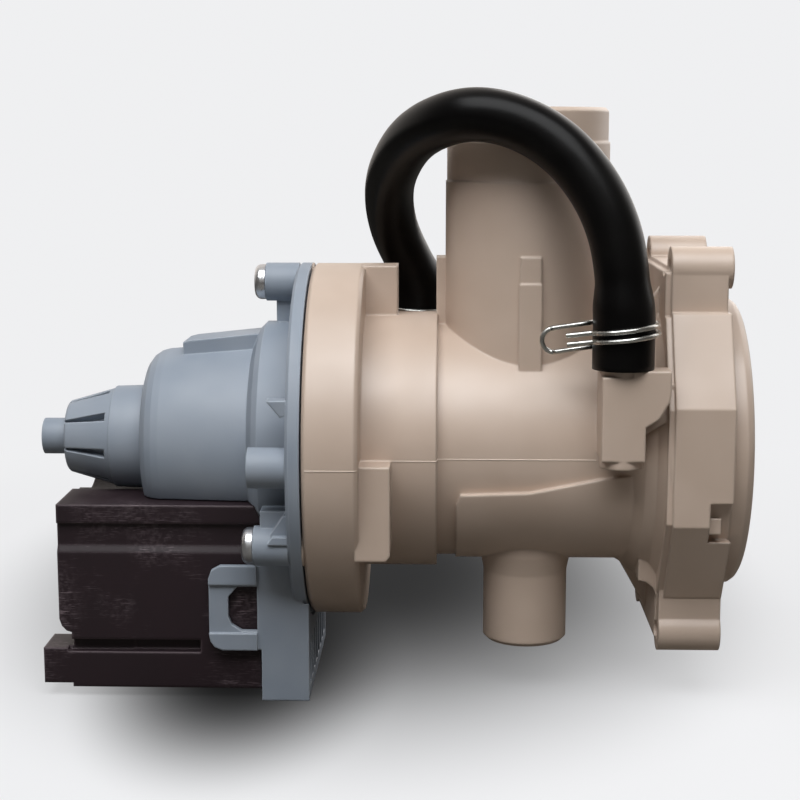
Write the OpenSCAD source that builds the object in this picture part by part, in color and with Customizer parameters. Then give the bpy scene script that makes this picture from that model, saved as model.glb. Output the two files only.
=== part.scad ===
// Drain pump of a washing machine: a moulded pump body with a lint filter behind a screw cap,
// an impeller on a magnet rotor, and a moulded-in stator that clips under the rotor can.
// +X runs along the pump axis from the motor to the filter cap, and +Z is up, along the inlet.
// The origin is where that axis crosses the front face of the mounting flange.

/* [Filter chamber] */
// Length of the chamber between the neck and the volute
chamber_len = 45.1; // [42:0.1:50]
// Outer radius of the chamber
chamber_r = 30.8; // [30:0.1:32]
// Radius of the bore that holds the basket
chamber_bore_r = 25; // [24:0.1:25.6]
// Height of that bore above the pump axis
chamber_rise = 3; // [2.4:0.1:3.4]
// Thickness of the wall between the chamber and the impeller
eye_wall = 3; // [2:0.1:5]
// Radius of the hole through which the impeller draws water
eye_r = 13; // [9:0.1:16]

/* [Volute and ring] */
// Length of the volute casing in front of the clamping ring
volute_len = 18.8; // [17:0.1:24]
// Outer radius of the volute casing
volute_r = 33.6; // [32.8:0.1:35.5]
// Radius of the space in which the impeller turns
volute_bore_r = 30; // [28.5:0.1:30.6]
// Width of the clamping ring
ring_len = 13.6; // [12:0.1:18]
// Outer radius of the clamping ring
ring_r = 46.3; // [45.8:0.1:49]
// Thickness of the clamping ring's rim
ring_wall = 3; // [2:0.1:3.4]

/* [Neck, flange and collar] */
// Length of the flared neck behind the flange
neck_len = 12.5; // [10:0.1:16]
// Thickness of the mounting flange
flange_t = 14.5; // [12:0.1:18]
// Half width of the mounting flange
flange_half_y = 40; // [39:0.1:44]
// Thickness of the flange's rim and back plate
flange_wall = 2.8; // [2:0.1:3.4]
// Spacing of the four mounting bosses across the pump
boss_pitch_y = 44; // [42:0.1:46]
// Spacing of the four mounting bosses up the pump
boss_pitch_z = 92.8; // [91:0.1:95]
// Radius of the mounting bosses
boss_r = 5.2; // [4.8:0.05:5.6]
// Radius of the screw holes in the mounting bosses
boss_hole_r = 2.2; // [1.5:0.05:3]
// Outer radius of the collar round the filter cap
collar_r = 37.6; // [36.4:0.1:38]
// How far the collar stands in front of the flange
collar_out = 5.4; // [3:0.1:8]
// Bore of the collar
collar_bore_r = 33.9; // [33.2:0.1:34.3]
// Depth of the seat of the cap behind the flange's front face
seat_depth = 12; // [10.5:0.1:12.5]
// Extra radius of the collar behind the flange's front face
collar_root = 0.8; // [0.6:0.1:1.2]

/* [Inlet and outlet] */
// Distance of the inlet and outlet behind the neck
port_back = 21.8; // [21.2:0.1:24]
// Outer radius of the inlet spigot
inlet_r = 21; // [20:0.1:22]
// Bore of the inlet spigot
inlet_bore_r = 18.2; // [16:0.1:18.6]
// Extra radius of the inlet spigot below its step line
inlet_foot = 0.3; // [0.25:0.05:0.6]
// Height of the inlet's mouth above the pump axis
inlet_top = 86.5; // [78:0.5:100]
// Height of the top of the ribs round the inlet
inlet_rib_top = 49.6; // [44:0.1:54]
// Thickness of the ribs round the inlet
inlet_rib_t = 5.3; // [3:0.1:7]
// Outer radius of the outlet spigot
outlet_r = 10.9; // [10:0.1:12]
// Bore of the outlet spigot
outlet_bore_r = 8.2; // [7:0.1:8.8]
// Depth of the outlet's mouth below the pump axis
outlet_drop = 51.5; // [46:0.5:60]
// Distance of the outlet towards the near side
outlet_side = 9; // [7:0.1:9.4]

/* [Bypass stubs] */
// Radius of the two stubs on which the bypass hose is pushed
stub_r = 5.2; // [4.8:0.05:5.3]
// Bore of the stubs
stub_bore_r = 3.2; // [2.5:0.1:3.6]
// Length of stub inside the hose
stub_grip = 10; // [8:0.5:12]
// Side distance of the near stub from the pump axis
near_stub_side = 37.5; // [37:0.1:39]
// Height at which the hose ends on the near stub
near_stub_z = 24.1; // [22:0.1:26]
// Side distance of the far stub from the pump axis
far_stub_side = 30; // [29:0.1:31]
// Height at which the hose ends on the far stub
far_stub_z = 24; // [22:0.1:26]
// Distance of the far stub behind the chamber
far_stub_back = 5.4; // [5:0.1:6.5]

/* [Motor housing] */
// Thickness of the motor housing's flange
disc_t = 3.5; // [2.5:0.1:5]
// Gap between the clamping ring's rim and the motor housing's flange
joint_gap = 0.4; // [0.3:0.05:0.8]
// Length of the can behind the flange
can_len = 40; // [39.6:0.1:46]
// Outer radius of the can near the flange
can_r = 25.5; // [25.2:0.1:26.5]
// Outer radius of the can at its closed end
can_end_r = 23.6; // [23.4:0.1:25]
// Wall of the can
can_wall = 2.2; // [1.6:0.1:2.3]
// Outer radius of the hump where the can meets the flange
hump_r = 31; // [29:0.1:34]
// Length of that hump
hump_len = 10.1; // [8:0.1:12]
// Bore of the sleeve in which the rotor runs wet
sleeve_bore_r = 14.3; // [13.8:0.05:14.5]
// Wall of that sleeve
sleeve_wall = 1.5; // [1:0.05:1.7]
// Length of the nose behind the can
nose_len = 21.7; // [20:0.1:25]
// Number of slots that part the nose into fins
nose_fins = 8; // [6:1:12]
// Number of screws between the two housings
screw_count = 3; // [3:1:3]
// Distance of those screws inside the clamping ring's edge
screw_inset = 4.8; // [4.5:0.1:5.3]
// Radius of the screws' shank
screw_r = 2; // [1.5:0.05:2.2]
// Radius of the screws' head
screw_head_r = 4.6; // [4:0.05:5]
// Height of the screws' head
screw_head_t = 3; // [2.2:0.1:3.6]
// Radius of the bosses in which those screws sit
screw_boss_r = 5; // [4.6:0.05:5.4]
// Height of those bosses on the motor housing
screw_boss_len = 8.6; // [7:0.1:9.5]

/* [Rotor and impeller] */
// Radius of the rotor magnet
magnet_r = 13; // [12:0.1:13.4]
// Length of the rotor magnet
magnet_len = 23; // [20:0.5:24]
// Radius of the shaft
shaft_r = 2; // [1.5:0.05:2.5]
// Outer radius of the shaft's bushes
bush_r = 5; // [4.5:0.1:5.6]
// Length of the shaft's bushes
bush_len = 6; // [4:0.1:6.5]
// Thickness of the thrust washers
washer_t = 0.8; // [0.5:0.05:1.2]
// Length of the bearing holder inside the sleeve
holder_len = 13; // [12:0.1:14]
// Tip radius of the impeller
impeller_r = 24; // [20:0.1:26]
// Number of impeller vanes
vane_count = 5; // [3:1:7]
// Thickness of the impeller vanes
vane_t = 2.2; // [1.5:0.1:3]
// Height of the impeller vanes along the shaft
vane_len = 15; // [11:0.1:15.4]
// Angle taken up by each of the two driving lugs
lug_angle = 85; // [70:1:88]

/* [Stator] */
// Half width of the stator's moulding
stator_half_y = 26; // [25.6:0.1:27]
// Distance of the moulding's top below the pump axis
stator_top = 13; // [12.6:0.1:13.4]
// Height of the moulding
stator_h = 48; // [47:0.1:50]
// Length of the moulding behind the bracket
stator_len = 51.9; // [50:0.1:56]
// Wall of the moulding
stator_wall = 2.6; // [2:0.1:2.8]
// Length of the lamination stack
lam_len = 18; // [14:0.5:18.2]
// Thickness of the lamination stack's legs
leg_t = 8; // [7:0.1:8.4]
// Thickness of the windings
winding_t = 4.2; // [3:0.1:4.4]

/* [Bracket] */
// Half width of the bracket that carries the stator
bracket_half_y = 28; // [27.8:0.1:30]
// Thickness of the bracket
bracket_t = 12.1; // [10:0.1:12.4]
// Depth of the bracket's foot below the pump axis
bracket_drop = 63.6; // [61:0.1:68]

/* [Filter] */
// Length of the filter basket
basket_len = 54; // [46:0.5:56]
// Outer radius of the filter basket
basket_r = 24.3; // [23:0.1:24.6]
// Wall of the filter basket
basket_wall = 2; // [1.4:0.1:2.6]
// Radial clearance between the filter cap and the collar
cap_clearance = 0.4; // [0.3:0.05:0.8]
// Half length of the grip across the cap
grip_half = 26; // [20:0.5:28]
// Thickness of the grip across the cap
grip_t = 8.5; // [6:0.1:11]
// How far the grip stands in front of the collar
grip_out = 1.8; // [0:0.1:6]

/* [Bypass hose] */
// Outer radius of the hose
hose_r = 6.5; // [6.2:0.05:6.9]
// Wall of the hose
hose_wall = 2; // [1.5:0.1:2.4]
// Radius of the wire in the spring clamps
wire_r = 0.5; // [0.4:0.05:0.6]

/* [Hidden] */
$fn = 96;

// Clearances: a running fit, a loose fit and the overshoot of a cutting tool
fit = 0.05;
loose = 0.3;
over = 1;
// A chamfer on moulded edges
edge = 0.9;

// Stations along the pump axis, from the flange's front face back to the nose
x_plate = -flange_t;
x_neck = x_plate - neck_len;
x_wall = x_neck - chamber_len;
x_ring = x_wall - volute_len;
x_joint = x_ring - ring_len;
x_motor = x_joint - joint_gap;
x_disc = x_motor - disc_t;
x_hump = x_disc - hump_len;
x_can_end = x_disc - can_len;
nose_base_len = 9.1;
nub_len = 6.9;
x_nose_base = x_can_end - nose_base_len;
x_nose_tip = x_can_end - nose_len;
nose_r = 13.5;
nose_tip_r = 9.6;
nub_r = 4.8;

// Inlet and outlet
x_port = x_neck - port_back;
inlet_line_z = 68;
inlet_step_z = 77.8;
inlet_step = 0.45;
outlet_root_z = chamber_r + 2;
outlet_flare = 5;
// Crescent channel under the chamber, from the volute to the outlet
channel_wall = 2;
channel_floor_r = chamber_r - channel_wall;
channel_roof_r = chamber_bore_r + channel_wall;
channel_near = 20;
channel_far = 8;

// Raised patch on the chamber's near side
patch_side = 4.2;
patch_drop = 2.5;
patch_r = 28;
patch_ridge = [[x_wall + 6, -8.9], [x_port, -8.2], [x_neck - 4, -4.4], [x_plate - 4, -2.8]];

// Mounting flange, as seen from the front
boss_mid_z = 0.8;
top_boss_z = boss_mid_z + boss_pitch_z / 2;
foot_z = boss_mid_z - boss_pitch_z / 2;
flange_top = top_boss_z;
flange_shoulder_y = boss_pitch_y / 2 + 5;
flange_ledge_z = 36.4;
flange_side_top = 14.5;
flange_side_bottom = -14.6;
flange_foot_y = boss_pitch_y / 2;
flange_foot_z = -36;
top_boss_out = 0.6;
top_set_back = 0.7;
foot_back = 1.1;
notch_len = 5.6;
notch_z = [-19, -8.7];
snap_z = [-16.7, -12.7];
snap_len = 3;

// Stubs
x_near_stub = x_neck - 0.2;
x_far_stub = x_wall - far_stub_back;
near_seat = [x_near_stub, -near_stub_side, near_stub_z];
far_seat = [x_far_stub, far_stub_side, far_stub_z];
stub_stop = 1.5;

// Screws between the two housings
screw_circle_r = ring_r - screw_inset;
lower_screw_y = screw_circle_r * cos(30);
lower_screw_z = -screw_circle_r * sin(30);
screw_angles = [for (i = [0:screw_count - 1]) 90 + i * 360 / screw_count];
screw_depth = 11;
screw_tip = x_joint + screw_depth;
x_screw_head = x_disc - screw_boss_len;
block_len = 8.4;
block_half = 5;
side_block_drop = 23.3;

// Gasket between the two housings, on the land inside the ring's pocket
land_r = volute_r + 4.4;
gasket_r = screw_circle_r - screw_boss_r - loose;
bead_r = (volute_bore_r + land_r) / 2;
bead_w = 3;
bead_depth = 2;

// Rotor chamber
sleeve_r = sleeve_bore_r + sleeve_wall;
x_sleeve_end = x_can_end + 2;
x_holder = x_motor - holder_len;
x_magnet_front = x_holder - 3.4;
x_magnet_rear = x_magnet_front - magnet_len;
holder_lip_r = sleeve_bore_r + 2.7;
holder_lip_t = 2;
x_rear_bush = x_sleeve_end - bush_len;

// Impeller and its lost-motion drive
impeller_gap = 3.4;
x_dog = x_motor + impeller_gap;
dog_len = 4;
dog_hub_r = shaft_r + 2.2;
dog_r = dog_hub_r + 3.6;
hub_r = dog_r + 2.6;
x_vane = x_dog + dog_len + 0.8;
x_impeller_front = x_vane + vane_len;
clip_t = 0.8;
x_shaft_front = x_impeller_front + 2.2;
x_shaft_rear = x_rear_bush + 0.5;

// Stator and bracket
x_bracket = x_disc - 8.1;
x_stator_front = x_bracket - loose;
x_stator_rear = x_stator_front - stator_len;
x_deck_front = x_disc - 0.6;
bracket_top = -31.6;
clip_z = [-50.1, -28];
window_z = [-45.2, -33.5];
clip_proud = 0.8;
stator_bottom = -stator_top - stator_h;
x_lam_rear = x_can_end + 5;
x_lam_front = x_lam_rear + lam_len;
pole_r = sleeve_r + loose;
pole_out_r = can_end_r - can_wall - 0.2;
leg_y = pole_r - 7;
pole_top = 8;
yoke_bottom = stator_bottom + 3;
yoke_top = yoke_bottom + 9;
bobbin_wall = 1.2;
bobbin_top = -stator_top - 5;
bobbin_bottom = yoke_top + 0.2;
cavity_side = leg_y + leg_t + bobbin_wall + winding_t + 1;
cavity_end = winding_t + bobbin_wall + 1;

// Connector at the stator's lower near corner
socket_out = 7.4;
socket_y = [-stator_half_y, -stator_half_y + 12];
socket_z = [stator_bottom + 1, stator_bottom + 10.3];
socket_wall = 1.5;
socket_depth = 12;
lower_set_back = 3.1;
blade_w = 0.8;
blade_h = 4.2;
blade_len = 7.4;

// Filter
x_seat = -seat_depth;
cap_r = collar_bore_r - cap_clearance;
cap_wall = 2.6;
cap_plate = 3;
x_cap_back = x_seat + loose;
x_cap_front = collar_out - 2.5;
stem_r = 6;
x_basket_front = x_seat - 1;
x_basket_rear = x_basket_front - basket_len;
basket_ring = 4;
basket_ribs = 10;
seal_r = 1.3;
x_seal = x_cap_back + cap_plate + 2.4;
seal_centre_r = collar_bore_r - loose - seal_r;
groove_r = seal_centre_r - seal_r - 0.02;
groove_half = seal_r + 0.2;

// Run of the hose from each stub's seat, met at the top
near_run = [[0, 0, 0], [0, 0, 6], [0, 0, 12], [-0.5, 0.2, 20], [-1.4, 0.6, 29], [-4.6, 2.1, 38.6],
    [-9.7, 4.1, 46.8], [-16.1, 6.5, 53.6], [-23.2, 8.5, 57.8], [-30, 9, 60.1],
    [-36.8, 10.5, 61]];
far_run = [[7.5, -52.5, 59.5], [2.5, -46, 57.5], [-2, -38, 54], [-5, -30, 49.5],
    [-7.5, -22, 44], [-8, -15, 37.5], [-7, -10, 30.5], [-4.2, -5.4, 24], [-1.1, -1.4, 18],
    [0, 0, 12.5], [0, 0, 6], [0, 0, 0]];
hose_route = concat([for (p = near_run) near_seat + p], [for (p = far_run) far_seat + p]);
hose_steps = 2;
hose_sides = 12;
hose_end_bore = (stub_r + 0.1) / cos(180 / hose_sides);
hose_end_r = hose_end_bore + hose_wall + 0.2;
hose_end_len = stub_grip + 4;
hose_taper = 8;
hose_plane = [0.8, 0.6, 0];

// Spring clamps
clamp_r = hose_end_r + wire_r + 0.2;
clamp_lift = 8.8;
rear_clamp_lift = 5.4;
clamp_tilt = 7;
clamp_ear = 11.4;
clamp_ear_half = 2.9;
clamp_gap = 0.92;
clamp_open = 20;
clamp_steps = 22;
wire_sides = 6;

// A block between two corners
module block(low, high) {
    translate(low)
        cube(high - low);
}

// A solid of revolution about the pump axis, from points [radius, x]
module turned(points) {
    rotate([0, 90, 0])
        rotate_extrude()
            polygon(points);
}

// A round bar along the pump axis
module bar(x0, x1, r) {
    translate([x0, 0, 0])
        rotate([0, 90, 0])
            cylinder(h = x1 - x0, r = r);
}

// A hollow round bar along the pump axis
module tube(x0, x1, r, bore) {
    difference() {
        bar(x0, x1, r);
        bar(x0 - over, x1 + over, bore);
    }
}

// A flat shape, drawn as seen from the filter end with Y across and Z up, run along X
module along_x(x0, x1) {
    translate([x0, 0, 0])
        rotate([90, 0, 90])
            linear_extrude(x1 - x0)
                children();
}

// A flat shape, drawn as seen from the near side with X across and Z up, run along Y
module along_y(y0, y1) {
    translate([0, y1, 0])
        rotate([90, 0, 0])
            linear_extrude(y1 - y0)
                children();
}

// The housing screws' places, with the head end towards -X
module at_screws() {
    for (a = screw_angles)
        rotate([a, 0, 0])
            translate([0, screw_circle_r, 0])
                children();
}

// The mounting bosses' places
module at_bosses(sides) {
    for (y = [-1, 1], z = sides)
        translate([0, y * boss_pitch_y / 2, boss_mid_z + z * boss_pitch_z / 2])
            children();
}

// The flange's outline, drawn in by d
module flange_outline(d) {
    half = [[flange_shoulder_y - d, flange_top - d],
        [flange_shoulder_y - d, flange_ledge_z - d],
        [flange_shoulder_y + 2 - d, flange_ledge_z - d],
        [flange_half_y - d, flange_side_top - d / 2],
        [flange_half_y - d, flange_side_bottom + d / 2],
        [flange_foot_y + 4 - d, flange_foot_z + d],
        [flange_foot_y - d, flange_foot_z + d],
        [flange_foot_y - d, foot_z - 3.2 + d]];
    polygon(concat(half, [for (i = [7:-1:0]) [-half[i][0], half[i][1]]]));
}

module flange_solid() {
    along_x(x_plate, 0)
        flange_outline(0);
    // A raised edge round the back of the plate
    along_x(x_plate - 1.5, x_plate + 0.1)
        flange_outline(1);
    // Feet round the two lower bosses
    for (s = [-1, 1])
        translate([0, s * flange_foot_y, 0])
            block([x_plate - foot_back, -boss_r + 1.6, foot_z], [0, boss_r - 1.6, flange_foot_z + 3]);
    at_bosses([-1])
        bar(x_plate - foot_back, 0, boss_r);
    at_bosses([1])
        bar(x_plate, top_boss_out, boss_r);
}

// Pockets that keep the flange's walls thin, open to the front, below a slightly set-back top
module flange_pockets() {
    difference() {
        block([-top_set_back, -flange_half_y, flange_ledge_z], [over, flange_half_y, top_boss_z + 9]);
        bar(-over, over * 2, collar_r + collar_root);
        at_bosses([1])
            bar(-over, over * 2, boss_r);
    }
    difference() {
        along_x(x_plate + flange_wall, over)
            flange_outline(flange_wall);
        bar(x_plate, over, collar_r + collar_root);
        at_bosses([-1, 1])
            bar(x_plate, over, boss_r);
        // Webs from the collar to the bosses and across the top and bottom
        for (s = [-1, 1], t = [-1, 1])
            block([x_plate, s * boss_pitch_y / 2 - 1, t > 0 ? 25 : foot_z],
                [over, s * boss_pitch_y / 2 + 1, t > 0 ? top_boss_z : -25]);
        block([x_plate, -1, -flange_top], [over, 1, flange_top]);
    }
}

// The snap notch on the flange's near side, down to the collar
module flange_notch() {
    difference() {
        block([-notch_len, -flange_half_y - over, notch_z[0]], [over, 0, notch_z[1]]);
        bar(-notch_len - over, over * 2, collar_r + collar_root);
        block([-notch_len - over, -flange_half_y + 2, snap_z[0]],
            [-notch_len + snap_len, 0, snap_z[1]]);
    }
}

// The flared neck, the chamber, the volute casing and the clamping ring, in one turned form
module body_solid() {
    turned([[0, x_joint], [ring_r - edge, x_joint], [ring_r, x_joint + edge],
        [ring_r, x_ring - edge], [ring_r - edge, x_ring], [volute_r, x_ring],
        [volute_r, x_wall], [chamber_r, x_wall], [chamber_r, x_neck + 0.6],
        [chamber_r + 1.4, x_neck + 3], [chamber_r + 4, x_neck + 6.2],
        [chamber_r + 5, x_neck + 9], [chamber_r + 8.6, x_plate - 0.6],
        [chamber_r + 8.6, x_plate + 0.1],
        [collar_r + collar_root, x_plate + 0.1], [collar_r + collar_root, 0],
        [collar_r, 0], [collar_r, collar_out - edge * 2],
        [collar_r - edge, collar_out - edge * 0.6], [collar_r - edge * 2, collar_out],
        [0, collar_out]]);
}

// The raised patch over the discharge channel
module discharge_patch() {
    intersection() {
        translate([0, -patch_side, -patch_drop])
            bar(x_wall + 5, x_plate - 4, patch_r);
        along_y(-chamber_r - 4, 0)
            polygon(concat([[x_wall + 5, -11.4]], patch_ridge,
                [[x_plate - 4, -chamber_r], [x_wall + 5, -chamber_r]]));
    }
}

module inlet_solid() {
    translate([x_port, 0, 0]) {
        cylinder(h = inlet_line_z, r = inlet_r + inlet_foot);
        cylinder(h = inlet_step_z, r = inlet_r);
        cylinder(h = inlet_top - edge, r = inlet_r - inlet_step);
        translate([0, 0, inlet_top - edge])
            cylinder(h = edge, r1 = inlet_r - inlet_step, r2 = inlet_r - inlet_step - edge);
        // Two ribs along the pump and two across it
        block([-inlet_r - 2.6, -inlet_rib_t / 2, 0],
            [inlet_r + 2.6, inlet_rib_t / 2, inlet_rib_top - 1.2]);
        block([-inlet_rib_t / 2, -inlet_r - 1.1, 0], [inlet_rib_t / 2, inlet_r + 1.1, inlet_rib_top]);
        block([-inlet_rib_t / 2 - 0.2, -inlet_r - 1.5, 0],
            [inlet_rib_t / 2 + 0.2, inlet_r + 1.5, inlet_rib_top - 6.6]);
    }
}

module outlet_solid() {
    translate([x_port, -outlet_side, -outlet_drop]) {
        translate([0, 0, edge])
            cylinder(h = outlet_drop - edge - outlet_root_z, r = outlet_r);
        // Flared root
        translate([0, 0, outlet_drop - outlet_root_z]) {
            cylinder(h = outlet_flare, r1 = outlet_r, r2 = outlet_r + outlet_flare / 5);
            translate([0, 0, outlet_flare])
                cylinder(h = outlet_root_z - outlet_flare, r = outlet_r + outlet_flare / 5);
        }
        cylinder(h = edge, r1 = outlet_r - edge, r2 = outlet_r);
    }
}

// The near stub on its column, with the web that ties it to the flange
module near_stub_solid() {
    translate([x_near_stub, -near_stub_side, 0]) {
        block([-stub_r, -stub_r, 2.1],
            [stub_r, near_stub_side - chamber_bore_r - 3, near_stub_z - stub_stop]);
        translate([0, 0.8, 0.4])
            cylinder(h = near_stub_z - stub_stop, r = stub_r - 0.2);
        cylinder(h = near_stub_z + stub_grip, r = stub_r);
    }
    along_y(-near_stub_side - stub_r, -near_stub_side + stub_r - 3)
        polygon([[x_near_stub + 2, 10.7], [x_near_stub + stub_r + 0.4, 10.7],
            [x_near_stub + stub_r + 3.2, 12.5], [x_plate - 2, 16.6], [x_plate - 1.6, 18.5],
            [x_plate - 1.6, near_stub_z], [x_near_stub + 2, near_stub_z]]);
    // Web from the column's foot towards the neck
    along_y(-near_stub_side + 1, -chamber_bore_r - 3)
        polygon([[x_near_stub, 4], [x_plate + 0.1, 12], [x_plate + 0.1, 20], [x_near_stub, 20]]);
}

module far_stub_solid() {
    translate([x_far_stub, far_stub_side, 0]) {
        cylinder(h = far_stub_z - stub_stop, r = stub_r + 1.8);
        cylinder(h = far_stub_z + stub_grip, r = stub_r);
    }
}

// The air ways of the two stubs, each down its stub and then inwards
module stub_bores() {
    translate([x_near_stub, -near_stub_side, 0]) {
        translate([0, 0, 10])
            cylinder(h = near_stub_z + stub_grip, r = stub_bore_r);
        translate([0, 0, 10])
            rotate([-90, 0, 0])
                cylinder(h = near_stub_side - chamber_bore_r + 6, r = stub_bore_r - 0.4);
    }
    translate([x_far_stub, far_stub_side, 0]) {
        translate([0, 0, 12])
            cylinder(h = far_stub_z + stub_grip, r = stub_bore_r);
        translate([0, 0, 12])
            rotate([90, 0, 0])
                cylinder(h = 9, r = stub_bore_r - 0.4);
    }
}

// Blocks that back the housing screws on the volute casing
module screw_blocks() {
    block([x_ring - over, -block_half, volute_bore_r + 1],
        [x_ring + block_len, block_half, screw_circle_r + block_half - 0.4]);
    for (s = [-1, 1])
        along_y(s < 0 ? -screw_circle_r : volute_bore_r * 0.8, s < 0 ? -volute_bore_r * 0.8 : screw_circle_r)
            polygon([[x_ring - over, -side_block_drop], [x_ring + block_len - 1.8, -side_block_drop],
                [x_ring + block_len - 0.8, -side_block_drop + 1.4], [x_ring + block_len - 0.8, 0.2],
                [x_ring - over, 0.2]]);
}

// Web under the neck down to the flange's foot, fillets behind the two feet and gussets up
// to the flange's top
module flange_gussets() {
    along_y(-1.2, 1.8)
        polygon([[x_neck - 2, -26], [x_plate + 0.1, -26], [x_plate + 0.1, foot_z - 3],
            [x_neck + 3.3, -chamber_r - 1.4]]);
    for (s = [-1, 1])
        translate([0, s * (flange_foot_y - 3), 0])
            along_y(-3.6, 3.6)
                polygon([[x_neck + 6.4, -27], [x_neck + 6.4, -32.6], [x_neck + 8.4, -33],
                    [x_neck + 10.2, -34.4], [x_plate - foot_back, -37.2],
                    [x_plate - foot_back, foot_z], [x_plate + 0.1, foot_z], [x_plate + 0.1, -27]]);
    for (s = [-1, 1])
        translate([0, s * 14, 0])
            along_y(-1.2, 1.2)
                polygon([[x_neck + 1, 22], [x_plate + 0.1, 22], [x_plate + 0.1, flange_top - 3],
                    [x_plate - 5, flange_ledge_z]]);
}

module pump_housing() {
    color("#cdbbae")
    difference() {
        union() {
            body_solid();
            discharge_patch();
            flange_solid();
            inlet_solid();
            outlet_solid();
            near_stub_solid();
            far_stub_solid();
            screw_blocks();
            flange_gussets();
        }
        // Impeller space, suction eye, chamber and collar
        bar(x_joint - over, x_wall - eye_wall, volute_bore_r);
        bar(x_wall - eye_wall - over, x_wall + over, eye_r);
        translate([0, 0, chamber_rise])
            bar(x_wall, x_seat + over, chamber_bore_r);
        bar(x_seat, collar_out + over, collar_bore_r);
        // Inlet and outlet
        translate([x_port, 0, chamber_rise])
            cylinder(h = inlet_top, r = inlet_bore_r);
        translate([x_port, -outlet_side, -outlet_drop - over])
            cylinder(h = outlet_drop + over - channel_roof_r + chamber_rise - 0.6, r = outlet_bore_r);
        along_x(x_wall - eye_wall - over, x_port + 2)
            channel_shape();
        stub_bores();
        // Pocket behind the clamping ring's rim, between the screw columns
        difference() {
            tube(x_joint - over, x_ring - ring_wall, ring_r - ring_wall, land_r);
            at_screws()
                bar(x_joint - over * 2, x_ring, screw_boss_r);
        }
        // Groove for the gasket's bead
        tube(x_joint - over, x_joint + bead_depth, bead_r + bead_w / 2, bead_r - bead_w / 2);
        at_screws()
            bar(x_joint - over, screw_tip + 0.6, screw_r + fit);
        flange_pockets();
        flange_notch();
        at_bosses([-1, 1])
            bar(x_plate - 4, top_boss_out + over, boss_hole_r);
    }
    // Faces on which the motor housing is drawn down
    color("#cdbbae")
    at_screws()
        tube(x_motor, x_joint + 0.01, screw_boss_r, screw_r + fit);
}

// Cross section of the discharge channel
module channel_shape() {
    intersection() {
        difference() {
            circle(r = channel_floor_r);
            translate([0, chamber_rise])
                circle(r = channel_roof_r);
        }
        translate([-channel_near, -chamber_r])
            square([channel_near + channel_far, chamber_r - 12]);
    }
}

// Flat rubber ring with a bead that seats in the pump housing
module housing_gasket() {
    color("#1d1d1f")
    turned([[volute_bore_r + 0.5, x_motor], [gasket_r, x_motor], [gasket_r, x_joint],
        [bead_r + bead_w / 2 - 0.1, x_joint], [bead_r + bead_w / 2 - 0.6, x_joint + bead_depth - 0.1],
        [bead_r - bead_w / 2 + 0.6, x_joint + bead_depth - 0.1],
        [bead_r - bead_w / 2 + 0.1, x_joint], [volute_bore_r + 0.5, x_joint]]);
}

// Three pan-head screws with crossed recesses
module flange_screws() {
    color("#b9bcc0")
    at_screws()
        difference() {
            union() {
                turned([[0, x_screw_head - screw_head_t], [screw_head_r - 1.1, x_screw_head - screw_head_t],
                    [screw_head_r, x_screw_head - screw_head_t + 1.1], [screw_head_r, x_screw_head],
                    [0, x_screw_head]]);
                bar(x_screw_head - 0.1, screw_tip, screw_r);
            }
            for (a = [0, 90])
                rotate([a, 0, 0])
                    block([x_screw_head - screw_head_t - over, -2.6, -0.5],
                        [x_screw_head - screw_head_t + 1.6, 2.6, 0.5]);
        }
}

// The can with its nose, as a solid form
module can_solid() {
    turned([[0, x_can_end], [can_end_r - 5, x_can_end], [can_end_r - 3.4, x_can_end + 0.5],
        [can_end_r - 1.6, x_can_end + 1.8], [can_end_r - 0.5, x_can_end + 3.5],
        [can_end_r, x_can_end + 5.4], [can_r, x_hump], [can_r, x_disc], [0, x_disc]]);
    turned([[0, x_hump - 1.6], [can_r, x_hump - 1.6], [hump_r - 1.6, x_hump], [hump_r, x_hump + 1.6],
        [hump_r, x_disc + 0.1], [0, x_disc + 0.1]]);
    // Rib along the top of the can
    along_y(-7, 7)
        polygon([[x_can_end + 10, 12], [x_can_end + 10, can_end_r + 2.6],
            [x_can_end + 12, can_end_r + 3.1], [x_hump, can_r + 3.1], [x_hump, 12]]);
}

module nose() {
    turned([[0, x_nose_base], [nose_r, x_nose_base], [nose_r + 0.3, x_can_end + 0.1],
        [0, x_can_end + 0.1]]);
    turned([[0, x_nose_tip], [nose_tip_r - 0.5, x_nose_tip], [nose_tip_r, x_nose_tip + 0.5],
        [nose_r - 0.4, x_nose_base + 0.1], [0, x_nose_base + 0.1]]);
    bar(x_nose_tip - nub_len, x_nose_tip + 0.1, nub_r);
}

// Slots that part the nose into fins, wide at the can and narrow at the tip
module nose_slots() {
    run = x_nose_base - x_nose_tip;
    for (i = [0:nose_fins - 1])
        rotate([(i + 0.5) * 360 / nose_fins - 11, 0, 0])
            translate([x_nose_tip - over, 0, nose_tip_r - 3.4])
                rotate([0, -atan((nose_r - nose_tip_r) / run), 0])
                    linear_extrude(8)
                        polygon([[0, -0.2], [run + over, -1.2], [run + over, 1.2], [0, 0.2]]);
}

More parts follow.
